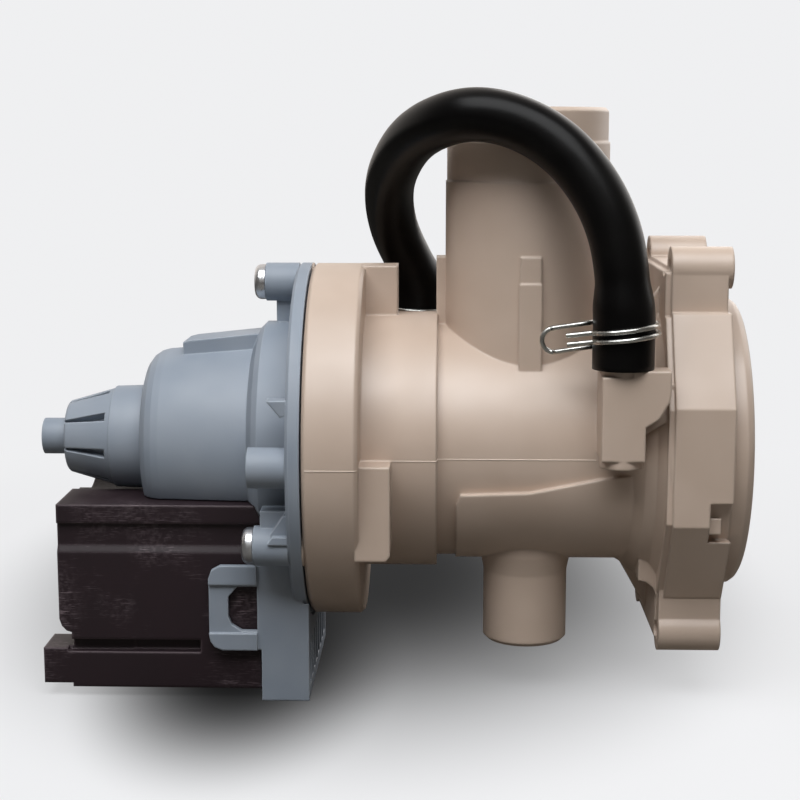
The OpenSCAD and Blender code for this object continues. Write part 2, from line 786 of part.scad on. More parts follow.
// Screw bosses, the blind boss and the webs on the back of the flange
module motor_bosses() {
    at_screws()
        bar(x_screw_head, x_disc + 0.1, screw_boss_r);
    translate([0, -screw_circle_r + 1.4, -0.3])
        bar(x_disc - screw_boss_len - 0.8, x_disc + 0.1, screw_boss_r);
    // Web under the top boss
    block([x_screw_head + 2.6, -1.2, can_r - 1], [x_disc + 0.1, 1.2, screw_circle_r]);
    // Small catch on the near side, and its twin
    for (s = [-1, 1])
        translate([0, s * (ring_r - 5.8), 0])
            along_y(-2.5, 2.5)
                polygon([[x_disc - 4.6, 16.6], [x_disc + 0.1, 16.6], [x_disc + 0.1, 13],
                    [x_disc - 1.2, 12.6]]);
    // Plates behind the lower bosses
    for (s = [-1, 1])
        translate([0, s * (lower_screw_y - 1.7), lower_screw_z])
            block([x_disc - 7, -3.2, -1.2], [x_disc + 0.1, 3.2, 9]);
    // A gusset above each lower boss and a ledge beside it
    for (s = [-1, 1])
        translate([0, s * lower_screw_y, lower_screw_z]) {
            along_y(s > 0 ? 1 : -4, s > 0 ? 4 : -1)
                polygon([[x_disc - 4.4, 0.8], [x_disc - 4.2, 3.8], [x_disc - 1, 8.4],
                    [x_disc + 0.1, 8.4], [x_disc + 0.1, 0.8]]);
            along_y(s > 0 ? 1 : -5.5, s > 0 ? 5.5 : -1)
                polygon([[x_disc - 4.8, 1.6], [x_disc - 3.6, 3.4], [x_disc + 0.1, 3.4],
                    [x_disc + 0.1, 1.4], [x_disc - 4.6, 1.4]]);
        }
}

// One side's clip frame, which grips the stator's side
module clip_frame() {
    rear = x_bracket - 13.3;
    difference() {
        polygon([[rear + 3, clip_z[1]], [x_bracket + 1, clip_z[1]], [x_bracket + 1, clip_z[0]],
            [rear + 3.4, clip_z[0]], [rear + 1.4, clip_z[0] + 0.8], [rear + 0.3, clip_z[0] + 2.4],
            [rear, clip_z[0] + 4.4], [rear, clip_z[1] - 3.4], [rear + 0.8, clip_z[1] - 1.2]]);
        // Window with its rear corners cut
        polygon([[x_bracket - 1, window_z[0]], [x_bracket - 1, window_z[1]], [x_bracket - 6, window_z[1]],
            [x_bracket - 8.4, window_z[1] - 2.8], [x_bracket - 8.4, window_z[0] + 3.6],
            [x_bracket - 7.6, window_z[0] + 1.6], [x_bracket - 5, window_z[0]]]);
    }
}

module bracket() {
    difference() {
        block([x_bracket, -bracket_half_y, -bracket_drop],
            [x_bracket + bracket_t, bracket_half_y, bracket_top + 4]);
        // Room for the clamping ring in front of the upper part
        bar(x_motor - over, x_joint + 20, ring_r + 0.8);
        // Slots in the front face
        for (i = [0:7])
            block([x_bracket + 3, -24.5 + i * 6.4, -bracket_drop + 3],
                [x_bracket + bracket_t + over, -20.5 + i * 6.4, -49.5]);
    }
    for (s = [-1, 1]) {
        along_y(s > 0 ? stator_half_y + loose : -bracket_half_y,
                s > 0 ? bracket_half_y : -stator_half_y - loose)
            clip_frame();
        // Stiffer strips above and below the window
        along_y(s > 0 ? bracket_half_y - 1 : -bracket_half_y - clip_proud,
                s > 0 ? bracket_half_y + clip_proud : -bracket_half_y + 1)
            difference() {
                clip_frame();
                translate([x_bracket - 14, window_z[0] - 0.5])
                    square([13, window_z[1] - window_z[0] + 1]);
                translate([x_bracket - 1, clip_z[0] - 1])
                    square([4, clip_z[1] - clip_z[0] + 2]);
            }
    }
}

module motor_housing() {
    color("#8f99a6")
    difference() {
        union() {
            turned([[0, x_disc], [ring_r - 0.7, x_disc], [ring_r + 0.1, x_disc + 0.8],
                [ring_r + 0.1, x_motor], [0, x_motor]]);
            can_solid();
            nose();
            motor_bosses();
            bracket();
        }
        // Space between the sleeve and the can for the poles
        difference() {
            turned([[0, x_can_end + 2.2], [can_end_r - can_wall - 3, x_can_end + 2.2],
                [can_end_r - can_wall, x_can_end + 5], [can_r - can_wall, x_disc - 1], [0, x_disc - 1]]);
            bar(x_can_end, x_disc, sleeve_r);
        }
        // The can is open underneath, where the stator rises into it
        difference() {
            block([x_can_end - over, -stator_half_y - 1, -can_r - over - 5],
                [x_disc - 0.6, stator_half_y + 1, -stator_top + 0.3]);
            bar(x_can_end - 10, x_disc, sleeve_r);
            block([x_bracket, -bracket_half_y, -bracket_drop], [x_disc, bracket_half_y, bracket_top + 4]);
        }
        // Rotor sleeve, seat of the bearing holder and seat of the rear bush
        bar(x_sleeve_end, x_motor + over, sleeve_bore_r);
        bar(x_motor - holder_lip_t, x_motor + over, holder_lip_r + 0.1);
        bar(x_rear_bush, x_sleeve_end + over, bush_r);
        nose_slots();
        // Hollow of the nub
        bar(x_nose_tip - nub_len - over, x_nose_tip - 1, nub_r - 1.6);
        at_screws()
            bar(x_screw_head - over, x_motor + over, screw_r + fit);
    }
}

// Carrier of the front bush, which closes the rotor sleeve
module bearing_holder() {
    color("#3b3d42")
    turned([[bush_r, x_holder], [sleeve_bore_r - fit, x_holder], [sleeve_bore_r - fit, x_holder + 4],
        [sleeve_bore_r - 1.8, x_holder + 4], [sleeve_bore_r - 1.8, x_holder + 6.4],
        [sleeve_bore_r - fit, x_holder + 6.4], [sleeve_bore_r - fit, x_motor - holder_lip_t],
        [holder_lip_r, x_motor - holder_lip_t], [holder_lip_r, x_motor],
        [shaft_r + 0.6, x_motor], [shaft_r + 0.6, x_motor - 2], [bush_r, x_motor - 2],
        [bush_r, x_holder + bush_len], [bush_r, x_holder]]);
}

// O-ring in the bearing holder's groove
module holder_seal() {
    color("#1d1d1f")
    translate([x_holder + 5.2, 0, 0])
        rotate([0, 90, 0])
            rotate_extrude()
                translate([sleeve_bore_r - 0.95, 0])
                    circle(r = 0.85, $fn = 32);
}

module front_bush() {
    color("#2c2c2e")
    tube(x_holder, x_holder + bush_len, bush_r, shaft_r + fit);
}

module rear_bush() {
    color("#2c2c2e")
    tube(x_rear_bush, x_sleeve_end, bush_r, shaft_r + fit);
}

// Washers on the shaft at both ends of the magnet
module thrust_washers() {
    color("#d8d4c8")
    for (x = [x_holder - 0.1 - washer_t, x_magnet_front + 0.1])
        tube(x, x + washer_t, bush_r + 0.6, shaft_r + fit);
}

module rotor_magnet() {
    color("#4a4a4d")
    difference() {
        turned([[0, x_magnet_rear], [magnet_r - 0.6, x_magnet_rear], [magnet_r, x_magnet_rear + 0.6],
            [magnet_r, x_magnet_front - 0.6], [magnet_r - 0.6, x_magnet_front], [0, x_magnet_front]]);
        bar(x_magnet_rear - over, x_magnet_front + over, shaft_r + 0.02);
    }
}

module rotor_shaft() {
    color("#c4c7cb")
    turned([[0, x_shaft_rear], [shaft_r - 0.4, x_shaft_rear], [shaft_r, x_shaft_rear + 0.4],
        [shaft_r, x_shaft_front - 0.4], [shaft_r - 0.4, x_shaft_front], [0, x_shaft_front]]);
}

// A wedge from the pump axis, centred on the angle a
module wedge(x0, x1, a) {
    far = dog_r * 3;
    half = lug_angle / 2;
    rotate([a, 0, 0])
        along_x(x0, x1)
            polygon([[0, 0], [far * cos(half), -far * sin(half)], [far, 0],
                [far * cos(half), far * sin(half)]]);
}

// Driver on the shaft, with a lug that pushes the impeller's lug
module drive_dog() {
    color("#e4e2dc")
    difference() {
        union() {
            bar(x_dog - 2, x_dog + dog_len, dog_hub_r);
            intersection() {
                bar(x_dog, x_dog + dog_len, dog_r);
                wedge(x_dog, x_dog + dog_len, 0);
            }
        }
        bar(x_dog - 3, x_dog + dog_len + over, shaft_r + 0.02);
    }
}

// Impeller with straight vanes, which turns half a turn on the shaft before the lug drives it
module impeller() {
    color("#e4e2dc")
    difference() {
        union() {
            bar(x_dog, x_vane + 2, hub_r);
            bar(x_vane + 1, x_impeller_front, shaft_r + 3.2);
            for (i = [0:vane_count - 1])
                rotate([i * 360 / vane_count, 0, 0])
                    along_y(-vane_t / 2, vane_t / 2)
                        polygon([[x_vane + 0.6, shaft_r + 1], [x_vane + 0.6, impeller_r - 2],
                            [x_vane + 2, impeller_r], [x_impeller_front - 5, impeller_r],
                            [x_impeller_front - 0.5, impeller_r - 7],
                            [x_impeller_front - 0.5, shaft_r + 1]]);
            tube(x_vane + 0.4, x_vane + 2.6, impeller_r * 0.62, hub_r - 1);
        }
        bar(x_dog - over, x_impeller_front + over, shaft_r + fit);
        difference() {
            bar(x_dog - over, x_vane, dog_r + loose);
            // The impeller's own lug, a quarter turn from the driver's
            intersection() {
                bar(x_dog - over, x_vane + over, dog_r + over);
                wedge(x_dog - over, x_vane + over, 90);
            }
        }
        bar(x_dog - over, x_vane, dog_hub_r + loose);
    }
}

// Push-on washer that keeps the impeller on its shaft
module impeller_clip() {
    color("#c4c7cb")
    tube(x_impeller_front + 0.4, x_impeller_front + 0.4 + clip_t, shaft_r + 2.2, shaft_r + 0.02);
}

// Space inside the moulding for the laminations and the coils
module stator_cavity() {
    block([x_lam_rear - cavity_end, -cavity_side, yoke_bottom - 0.2],
        [x_lam_front + cavity_end, cavity_side, -stator_top - stator_wall]);
    // Ways up for the two poles
    for (s = [-1, 1])
        block([x_lam_rear - loose, s > 0 ? leg_y - loose : -leg_y - leg_t - loose, -30],
            [x_lam_front + loose, s > 0 ? leg_y + leg_t + loose : -leg_y + loose, 0]);
}

module stator_cover() {
    near = -stator_half_y;
    color("#33262b")
    difference() {
        union() {
            // Upper block, which runs forward over the bracket
            block([x_stator_rear, near, -46.5], [x_stator_front, stator_half_y, -stator_top]);
            block([x_stator_front - 1, near, bracket_top + 4.3], [x_deck_front, stator_half_y, -stator_top]);
            // Lower block, set back at its rear end
            block([x_stator_rear + lower_set_back, near, stator_bottom],
                [x_stator_front, stator_half_y, -44]);
            block([x_stator_rear + 8.7, near + 6, stator_bottom - 0.9],
                [x_stator_rear + 25.5, stator_half_y - 6, stator_bottom + 1]);
            // Shell round the connector
            block([x_stator_rear + lower_set_back - socket_out, socket_y[0], socket_z[0]],
                [x_stator_rear + lower_set_back + 1, socket_y[1], socket_z[1]]);
        }
        stator_cavity();
        // Trough for the rotor sleeve, with room for the can's nose behind it
        bar(x_can_end - 0.4, x_disc + over, pole_r);
        bar(x_stator_rear - over, x_can_end, nose_r + 1.2);
        // Band along both sides, and a long slot below it
        for (s = [-1, 1]) {
            along_x(x_stator_rear - over, x_deck_front + over)
                polygon([[s * (stator_half_y + over), -17.8], [s * (stator_half_y - 1), -17.8],
                    [s * (stator_half_y - 1), -23.6], [s * stator_half_y, -25.4],
                    [s * (stator_half_y + over), -25.4]]);
            block([x_stator_rear + 2, s > 0 ? stator_half_y - 2.2 : near - over, -51.6],
                [x_stator_rear + 36.3, s > 0 ? stator_half_y + over : near + 2.2, -48.3]);
        }
        // The far half of the upper block ends level with the lower block
        block([x_stator_rear - over, 2, -48], [x_stator_rear + lower_set_back, stator_half_y + over, 0]);
        // Rounded lower rear edge of the upper block
        along_y(near - over, stator_half_y + over)
            polygon([[x_stator_rear - over, -43], [x_stator_rear, -43], [x_stator_rear + 0.6, -44.8],
                [x_stator_rear + 1.8, -46.1], [x_stator_rear + lower_set_back, -46.5],
                [x_stator_rear - over, -47]]);
        // Mouth of the connector
        block([x_stator_rear + lower_set_back - socket_out - over, socket_y[0] + socket_wall,
                socket_z[0] + socket_wall],
            [x_stator_rear + lower_set_back - socket_out + socket_depth, socket_y[1] - socket_wall,
                socket_z[1] - socket_wall]);
    }
}

// Two blades that plug into the machine's wiring
module connector_terminals() {
    x_end = x_stator_rear + lower_set_back - socket_out + socket_depth;
    color("#c9b27a")
    for (i = [-1, 1])
        translate([0, (socket_y[0] + socket_y[1]) / 2 + i * 2.5, (socket_z[0] + socket_z[1]) / 2])
            block([x_end - blade_len, -blade_w / 2, -blade_h / 2], [x_end, blade_w / 2, blade_h / 2]);
}

// U-shaped stack of sheets with two poles round the rotor sleeve
module lamination_stack() {
    color("#7d8085")
    along_x(x_lam_rear, x_lam_front)
        difference() {
            union() {
                for (s = [-1, 1]) {
                    translate([s > 0 ? leg_y : -leg_y - leg_t, yoke_bottom])
                        square([leg_t, -stator_top - yoke_bottom]);
                    intersection() {
                        circle(r = pole_out_r);
                        translate([s > 0 ? leg_y : -pole_out_r, -stator_top - 1])
                            square([pole_out_r - leg_y, pole_top + stator_top + 1]);
                    }
                }
                translate([-leg_y - leg_t, yoke_bottom])
                    square([2 * (leg_y + leg_t), yoke_top - yoke_bottom]);
            }
            circle(r = pole_r);
        }
}

// Rectangular sleeve round one leg of the stack
module leg_sleeve(side, grow, hollow, z0, z1) {
    y0 = side > 0 ? leg_y : -leg_y - leg_t;
    difference() {
        block([x_lam_rear - grow, y0 - grow, z0], [x_lam_front + grow, y0 + leg_t + grow, z1]);
        block([x_lam_rear - hollow, y0 - hollow, z0 - over],
            [x_lam_front + hollow, y0 + leg_t + hollow, z1 + over]);
    }
}

module bobbin(side) {
    color("#e9e5da")
    union() {
        leg_sleeve(side, bobbin_wall, 0.1, bobbin_bottom, bobbin_top);
        for (z = [bobbin_bottom, bobbin_top - bobbin_wall])
            leg_sleeve(side, bobbin_wall + winding_t * 0.9, 0.1, z, z + bobbin_wall);
    }
}

module winding(side) {
    color("#b4683a")
    leg_sleeve(side, bobbin_wall + winding_t * 0.8, bobbin_wall + 0.05, bobbin_bottom + bobbin_wall + 0.1,
        bobbin_top - bobbin_wall - 0.1);
}

// Lint basket: a cage of bars, open at the top under the inlet and at the back to the impeller
module filter_insert() {
    color("#8c9196")
    difference() {
        union() {
            translate([0, 0, chamber_rise]) {
                tube(x_basket_rear, x_basket_front, basket_r, basket_r - basket_wall);
                bar(x_basket_front - 3, x_basket_front, basket_r);
            }
            bar(x_basket_front - 5, x_basket_front, stem_r + 3);
        }
        // Gaps between the bars
        translate([0, 0, chamber_rise])
            for (i = [0:basket_ribs - 1])
                rotate([90 + i * 360 / basket_ribs, 0, 0])
                    block([x_basket_rear + basket_ring, basket_r - basket_wall - 2, -4.4],
                        [x_basket_front - basket_ring - 3, basket_r + over, 4.4]);
        // Mouth under the inlet
        translate([x_port, 0, chamber_rise])
            cylinder(h = basket_r + over, r = inlet_bore_r - 1);
        // Bore for the cap's stem
        bar(x_basket_front - 7, x_basket_front + over, stem_r + fit);
    }
}

// Screw cap with a grip bar across its dish
module filter_cap() {
    color("#3f4347")
    difference() {
        union() {
            difference() {
                turned([[0, x_cap_back], [cap_r - 0.8, x_cap_back], [cap_r, x_cap_back + 0.8],
                    [cap_r, x_seal - groove_half], [groove_r, x_seal - groove_half],
                    [groove_r, x_seal + groove_half], [cap_r, x_seal + groove_half],
                    [cap_r, x_cap_front - 0.6], [cap_r - 0.6, x_cap_front], [0, x_cap_front]]);
                bar(x_cap_back + cap_plate, x_cap_front + over, cap_r - cap_wall - 1.6);
            }
            along_x(x_cap_back + 1, collar_out + grip_out)
                intersection() {
                    circle(r = grip_half);
                    square([2 * grip_half, grip_t], center = true);
                }
            bar(x_basket_front - 5.4, x_cap_back + over, stem_r);
        }
        // Dips for the fingers in the grip's two flanks
        for (s = [-1, 1], t = [-1, 1])
            translate([0, s * 11, t * (grip_t / 2 + 5.4)])
                bar(x_cap_back + cap_plate, x_cap_front + 1, 7);
    }
}

module filter_seal() {
    color("#1d1d1f")
    translate([x_seal, 0, 0])
        rotate([0, 90, 0])
            rotate_extrude()
                translate([seal_centre_r, 0])
                    circle(r = seal_r, $fn = 32);
}

// Points on a smooth curve through a list of points, some steps to each stretch
function held(list, i) = list[min(max(i, 0), len(list) - 1)];
function curve_at(a, b, c, d, t) = 0.5 * (2 * b + (c - a) * t + (2 * a - 5 * b + 4 * c - d) * t * t
    + (3 * b - a - 3 * c + d) * t * t * t);
function smooth(list, steps) = concat([for (i = [0:len(list) - 2], k = [0:steps - 1])
    curve_at(held(list, i - 1), list[i], list[i + 1], held(list, i + 2), k / steps)],
    [list[len(list) - 1]]);
function unit(v) = v / norm(v);
function heading(path, i) = unit(held(path, i + 1) - held(path, i - 1));
function run_to(path, i) = i < 1 ? 0 : norm(path[i] - path[i - 1]) + run_to(path, i - 1);
// One ring of points round a path, square to it
function ring_at(path, i, r, sides, plane) =
    let (t = heading(path, i), u = unit(cross(t, plane)), v = cross(t, u))
    [for (k = [0:sides - 1]) path[i] + r * (u * cos(k * 360 / sides) + v * sin(k * 360 / sides))];

// A solid wire along a path
module wire(path, r, sides, plane) {
    n = len(path);
    points = [for (i = [0:n - 1]) each ring_at(path, i, r, sides, plane)];
    walls = [for (i = [0:n - 2], k = [0:sides - 1]) each
        let (a = i * sides + k, b = i * sides + (k + 1) % sides)
        [[a, b, b + sides], [a, b + sides, a + sides]]];
    first = [for (k = [1:sides - 2]) [0, k + 1, k]];
    last = [for (k = [1:sides - 2]) [(n - 1) * sides, (n - 1) * sides + k, (n - 1) * sides + k + 1]];
    polyhedron(concat(points), concat(walls, first, last), convexity = 8);
}

// The hose, wider where it is stretched over the stubs
module bypass_hose() {
    path = smooth(hose_route, hose_steps);
    n = len(path);
    s = hose_sides;
    total = run_to(path, n - 1);
    stretch = [for (i = [0:n - 1]) let (d = min(run_to(path, i), total - run_to(path, i)))
        min(1, max(0, (hose_end_len + hose_taper - d) / hose_taper))];
    outer = [for (i = [0:n - 1]) each
        ring_at(path, i, hose_r + (hose_end_r - hose_r) * stretch[i], s, hose_plane)];
    inner = [for (i = [0:n - 1]) each
        ring_at(path, i, hose_r - hose_wall + (hose_end_bore - hose_r + hose_wall) * stretch[i], s,
            hose_plane)];
    skin = [for (i = [0:n - 2], k = [0:s - 1]) each
        let (a = i * s + k, b = i * s + (k + 1) % s, m = n * s)
        [[a, b, b + s], [a, b + s, a + s], [a + m, b + m + s, b + m], [a + m, a + m + s, b + m + s]]];
    ends = [for (k = [0:s - 1]) each
        let (j = (k + 1) % s, m = n * s, e = (n - 1) * s)
        [[k, m + k, m + j], [k, m + j, j], [e + k, e + j, e + m + j], [e + k, e + m + j, e + m + k]]];
    color("#17171a")
    polyhedron(concat(outer, inner), concat(skin, ends), convexity = 8);
}

// Spring clamp bent from one wire: a short end, a turn round the hose, the long ear,
// the second turn and the other short end
function clamp_turn(k) = let (a = 180 + clamp_open + (360 - 2 * clamp_open) * k / clamp_steps)
    [clamp_r * cos(a), clamp_r * sin(a),
        clamp_gap + (clamp_ear_half - clamp_gap) * max(0, k / clamp_steps * 2.2 - 1.2)];
function mirrored(list) = [for (i = [len(list) - 1:-1:0]) [list[i][0], list[i][1], -list[i][2]]];
module spring_clamp() {
    x_out = -clamp_r - clamp_ear;
    turn = [for (k = [0:clamp_steps]) clamp_turn(k)];
    half = concat([[-clamp_r - 5.6, -2.2, clamp_gap], [-clamp_r - 2.6, -2.7, clamp_gap]], turn,
        [[-clamp_r - 3, 2, clamp_ear_half], [x_out + clamp_ear_half, 0.8, clamp_ear_half]],
        [for (a = [68, 45, 22]) [x_out + clamp_ear_half * (1 - cos(a)), 0.5, clamp_ear_half * sin(a)]]);
    path = concat(half, [[x_out, 0.5, 0]], mirrored(half));
    wire(path, wire_r, wire_sides, [0.12, 0.09, 1]);
}

module clamp_on(seat, lift, turn) {
    translate(seat + [0, 0, lift])
        rotate([0, 0, turn])
            rotate([0, -clamp_tilt, 0])
                color("#c9ccd0")
                spring_clamp();
}

module front_hose_clamp() {
    clamp_on(near_seat, clamp_lift, 0);
}

module rear_hose_clamp() {
    clamp_on(far_seat, rear_clamp_lift, 180);
}

pump_housing();
motor_housing();
housing_gasket();
flange_screws();
impeller();
drive_dog();
impeller_clip();
rotor_shaft();
rotor_magnet();
front_bush();
rear_bush();
thrust_washers();
bearing_holder();
holder_seal();
stator_cover();
lamination_stack();
bobbin(-1);  // near_bobbin
bobbin(1);  // far_bobbin
winding(-1);  // near_winding
winding(1);  // far_winding
connector_terminals();
filter_insert();
filter_cap();
filter_seal();
bypass_hose();
front_hose_clamp();
rear_hose_clamp();
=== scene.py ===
"""A washing machine's drain pump with its lint filter, magnet rotor, stator and bypass hose."""

import math

import bpy
from mathutils import Matrix, Vector
from mathutils.bvhtree import BVHTree


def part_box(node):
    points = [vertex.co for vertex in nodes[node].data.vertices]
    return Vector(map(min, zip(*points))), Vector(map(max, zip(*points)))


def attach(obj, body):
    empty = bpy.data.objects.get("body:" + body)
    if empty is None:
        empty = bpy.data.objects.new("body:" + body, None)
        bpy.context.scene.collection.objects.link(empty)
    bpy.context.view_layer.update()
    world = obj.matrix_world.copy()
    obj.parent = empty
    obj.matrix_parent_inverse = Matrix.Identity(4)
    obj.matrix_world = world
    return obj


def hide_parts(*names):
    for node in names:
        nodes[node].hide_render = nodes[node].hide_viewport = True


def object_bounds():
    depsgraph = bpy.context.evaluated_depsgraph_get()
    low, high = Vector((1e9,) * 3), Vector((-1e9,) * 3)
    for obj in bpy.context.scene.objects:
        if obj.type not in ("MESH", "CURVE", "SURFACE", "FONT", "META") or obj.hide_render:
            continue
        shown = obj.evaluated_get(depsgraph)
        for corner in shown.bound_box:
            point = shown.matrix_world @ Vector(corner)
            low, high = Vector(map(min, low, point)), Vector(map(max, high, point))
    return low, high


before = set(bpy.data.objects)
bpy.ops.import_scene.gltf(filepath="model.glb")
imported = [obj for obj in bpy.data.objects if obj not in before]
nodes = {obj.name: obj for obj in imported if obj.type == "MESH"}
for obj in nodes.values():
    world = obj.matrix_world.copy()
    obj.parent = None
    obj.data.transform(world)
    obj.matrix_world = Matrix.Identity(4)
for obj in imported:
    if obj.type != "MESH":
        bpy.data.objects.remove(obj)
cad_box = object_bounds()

scene = bpy.context.scene
MM = 0.001

# Camera.
# A product picture from a little above, straight onto the pump's side.
scene.view_settings.view_transform = "Standard"
lens = bpy.data.cameras.new("camera")
lens.sensor_width = 36.0
lens.lens = 73.8
lens.clip_start = 0.01
camera = bpy.data.objects.new("camera", lens)
camera.location = (-69.4 * MM, -429.7 * MM, 79.8 * MM)
camera.rotation_euler = (math.radians(90 - 9.21), 0, math.radians(1.68))
scene.collection.objects.link(camera)
scene.camera = camera

# Studio light.
# A wide softbox hangs over the pump, with a weak card in front of it and a stronger one
# behind. The room is dim for the matt surfaces and shows its pale wall in the glossy ones.
studio_white = (0.865, 0.868, 0.88, 1)
pump_middle = (-0.08, 0.0, 0.0)


def softbox(name, place, target, size, watts, colour):
    """A rectangular area lamp at place, aimed at target, with its size in metres."""
    lamp = bpy.data.lights.new(name, "AREA")
    lamp.shape = "RECTANGLE"
    lamp.size, lamp.size_y = size
    lamp.energy = watts
    lamp.color = colour
    holder = bpy.data.objects.new(name, lamp)
    holder.location = place
    aim = Vector(target) - Vector(place)
    holder.rotation_euler = aim.to_track_quat("-Z", "Y").to_euler()
    scene.collection.objects.link(holder)


def add(tree, kind, inputs=None, **settings):
    """A node with its settings, and each input given as a value or a socket to link from."""
    node = tree.nodes.new(kind)
    for label, value in settings.items():
        setattr(node, label, value)
    for label, value in (inputs or {}).items():
        if isinstance(value, bpy.types.NodeSocket):
            tree.links.new(value, node.inputs[label])
        else:
            node.inputs[label].default_value = value
    return node


def ramp(tree, value, low, high, curve="LINEAR"):
    """value, spread so that low gives 0 and high gives 1."""
    limits = {"Value": value, "From Min": low, "From Max": high}
    return add(tree, "ShaderNodeMapRange", limits, interpolation_type=curve).outputs[0]


def calculate(tree, operation, *values):
    """The result of a Math node."""
    return add(tree, "ShaderNodeMath", dict(enumerate(values)), operation=operation).outputs[0]


def blend(tree, factor, low, high):
    """A colour between two colours or sockets, which are the Mix node's sockets 6 and 7."""
    return add(tree, "ShaderNodeMix", {"Factor": factor, 6: low, 7: high}, data_type="RGBA").outputs[2]


softbox(
    "overhead_softbox", (-0.14, -0.32, 0.54), pump_middle, (0.70, 0.44), 5.4, (0.97, 0.985, 1.0)
)
softbox("front_card", (-0.20, -0.85, 0.30), pump_middle, (0.5, 0.5), 0.15, (1.0, 0.98, 0.96))
softbox("back_card", (0.35, 0.45, 0.35), (-0.08, 0.0, 0.02), (0.8, 0.6), 2.4, (1.0, 0.99, 0.985))

room = bpy.data.worlds.new("pale_room")
room.use_nodes = True
scene.world = room
tree = room.node_tree
tree.nodes.clear()
seen = add(tree, "ShaderNodeLightPath").outputs
direction = add(tree, "ShaderNodeTexCoord").outputs["Generated"]
way = add(tree, "ShaderNodeSeparateXYZ", {0: direction}).outputs
back_wall = ramp(tree, way["Y"], -0.2, 0.75, "SMOOTHSTEP")
# What the back wall adds to the room's own tone, for every surface and again for glossy ones
wall_tone, room_tone, wall_shine, room_shine = 0.15, 0.035, 0.85, 0.12
shown = calculate(tree, "MULTIPLY_ADD", back_wall, wall_shine, room_shine)
dim = calculate(tree, "MULTIPLY_ADD", back_wall, wall_tone, room_tone)
strength = calculate(tree, "MULTIPLY_ADD", shown, seen["Is Glossy Ray"], dim)
warm_dim = add(tree, "ShaderNodeBackground", {"Color": (0.84, 0.775, 0.72, 1), "Strength": strength})
plain = add(tree, "ShaderNodeBackground", {"Color": studio_white})
surroundings = {0: seen["Is Camera Ray"], 1: warm_dim.outputs[0], 2: plain.outputs[0]}
choose = add(tree, "ShaderNodeMixShader", surroundings)
add(tree, "ShaderNodeOutputWorld", {"Surface": choose.outputs[0]})

# Table top.
# White card that runs off into the white room. The pump's own shadow lies on it, and a
# wide soft one is painted into the card's colour, behind the pump and round its foot.
table_half = 4.0
floor_z = cad_box[0][2]
table_mesh = bpy.data.meshes.new("table_top")
corners = [(x * table_half, y * table_half, floor_z) for x, y in ((-1, -1), (1, -1), (1, 1), (-1, 1))]
table_mesh.from_pydata(corners, [], [(0, 1, 2, 3)])
table_top = bpy.data.objects.new("table_top", table_mesh)
scene.collection.objects.link(table_top)

card = bpy.data.materials.new("white_card")
card.use_nodes = True
tree = card.node_tree
tree.nodes.clear()
place = add(tree, "ShaderNodeTexCoord").outputs["Object"]


def soft_shadow(centre, reach, darkest):
    """A factor that is darkest at the centre and 1 past the reach, in metres on the table."""
    round_centre = {
        "Location": (-centre[0] / reach[0], -centre[1] / reach[1], 0),
        "Scale": (1 / reach[0], 1 / reach[1], 0),
        "Vector": place,
    }
    scaled = add(tree, "ShaderNodeMapping", round_centre).outputs[0]
    away = add(tree, "ShaderNodeVectorMath", {0: scaled}, operation="LENGTH").outputs["Value"]
    rise = calculate(tree, "POWER", ramp(tree, away, 0.0, 1.0, "SMOOTHSTEP"), 2.0)
    return calculate(tree, "MULTIPLY_ADD", rise, 1 - darkest, darkest)


pump_shadow = soft_shadow((-0.095, 0.100), (0.137, 0.210), 0.045)
foot_shadow = soft_shadow((-0.125, 0.0), (0.046, 0.100), 0.03)
shade = calculate(tree, "MULTIPLY", pump_shadow, foot_shadow)
seen = add(tree, "ShaderNodeLightPath").outputs
# Light bouncing off the card is weaker in the painted shadow too
bounce = blend(tree, shade, (0.05, 0.045, 0.04, 1), (0.18, 0.17, 0.155, 1))
shown = blend(tree, shade, (0, 0, 0, 1), studio_white)
matt = add(tree, "ShaderNodeBsdfDiffuse", {"Color": blend(tree, seen["Is Camera Ray"], bounce, shown)})
# Camera rays see the card partly glow white, with the painted shadow in the glow's colour
glowing_card = add(tree, "ShaderNodeEmission", {"Color": shown})
# Near the pump a quarter of the tone is real light and shadow, and past run_off_end none is
run_off_start, run_off_end, glow_share = 0.15, 0.36, 0.75
centred = add(tree, "ShaderNodeVectorMath", {0: place, 1: pump_middle}, operation="SUBTRACT").outputs[0]
distance = add(tree, "ShaderNodeVectorMath", {0: centred}, operation="LENGTH").outputs["Value"]
further = ramp(tree, distance, run_off_start, run_off_end, "SMOOTHSTEP")
run_off = calculate(tree, "MULTIPLY_ADD", further, 1 - glow_share, glow_share)
both = calculate(tree, "MULTIPLY", run_off, seen["Is Camera Ray"])
choose = add(tree, "ShaderNodeMixShader", {0: both, 1: matt.outputs[0], 2: glowing_card.outputs[0]})
add(tree, "ShaderNodeOutputMaterial", {"Surface": choose.outputs[0]})
table_mesh.materials.append(card)

# Pump housing.
# One beige moulding of talc-filled polypropylene, with the big inlet on top and the
# outlet below. The halves of its mould leave a fine raised line along both sides.


def shader_group(name, inputs, outputs):
    """A node group with float inputs {name: default} and outputs {name: socket type}."""
    group = bpy.data.node_groups.new(name, "ShaderNodeTree")
    for label, value in inputs.items():
        socket = group.interface.new_socket(label, in_out="INPUT", socket_type="NodeSocketFloat")
        socket.default_value = value
    for label, kind in outputs.items():
        group.interface.new_socket(label, in_out="OUTPUT", socket_type=kind)
    return group, group.nodes.new("NodeGroupInput").outputs, group.nodes.new("NodeGroupOutput").inputs


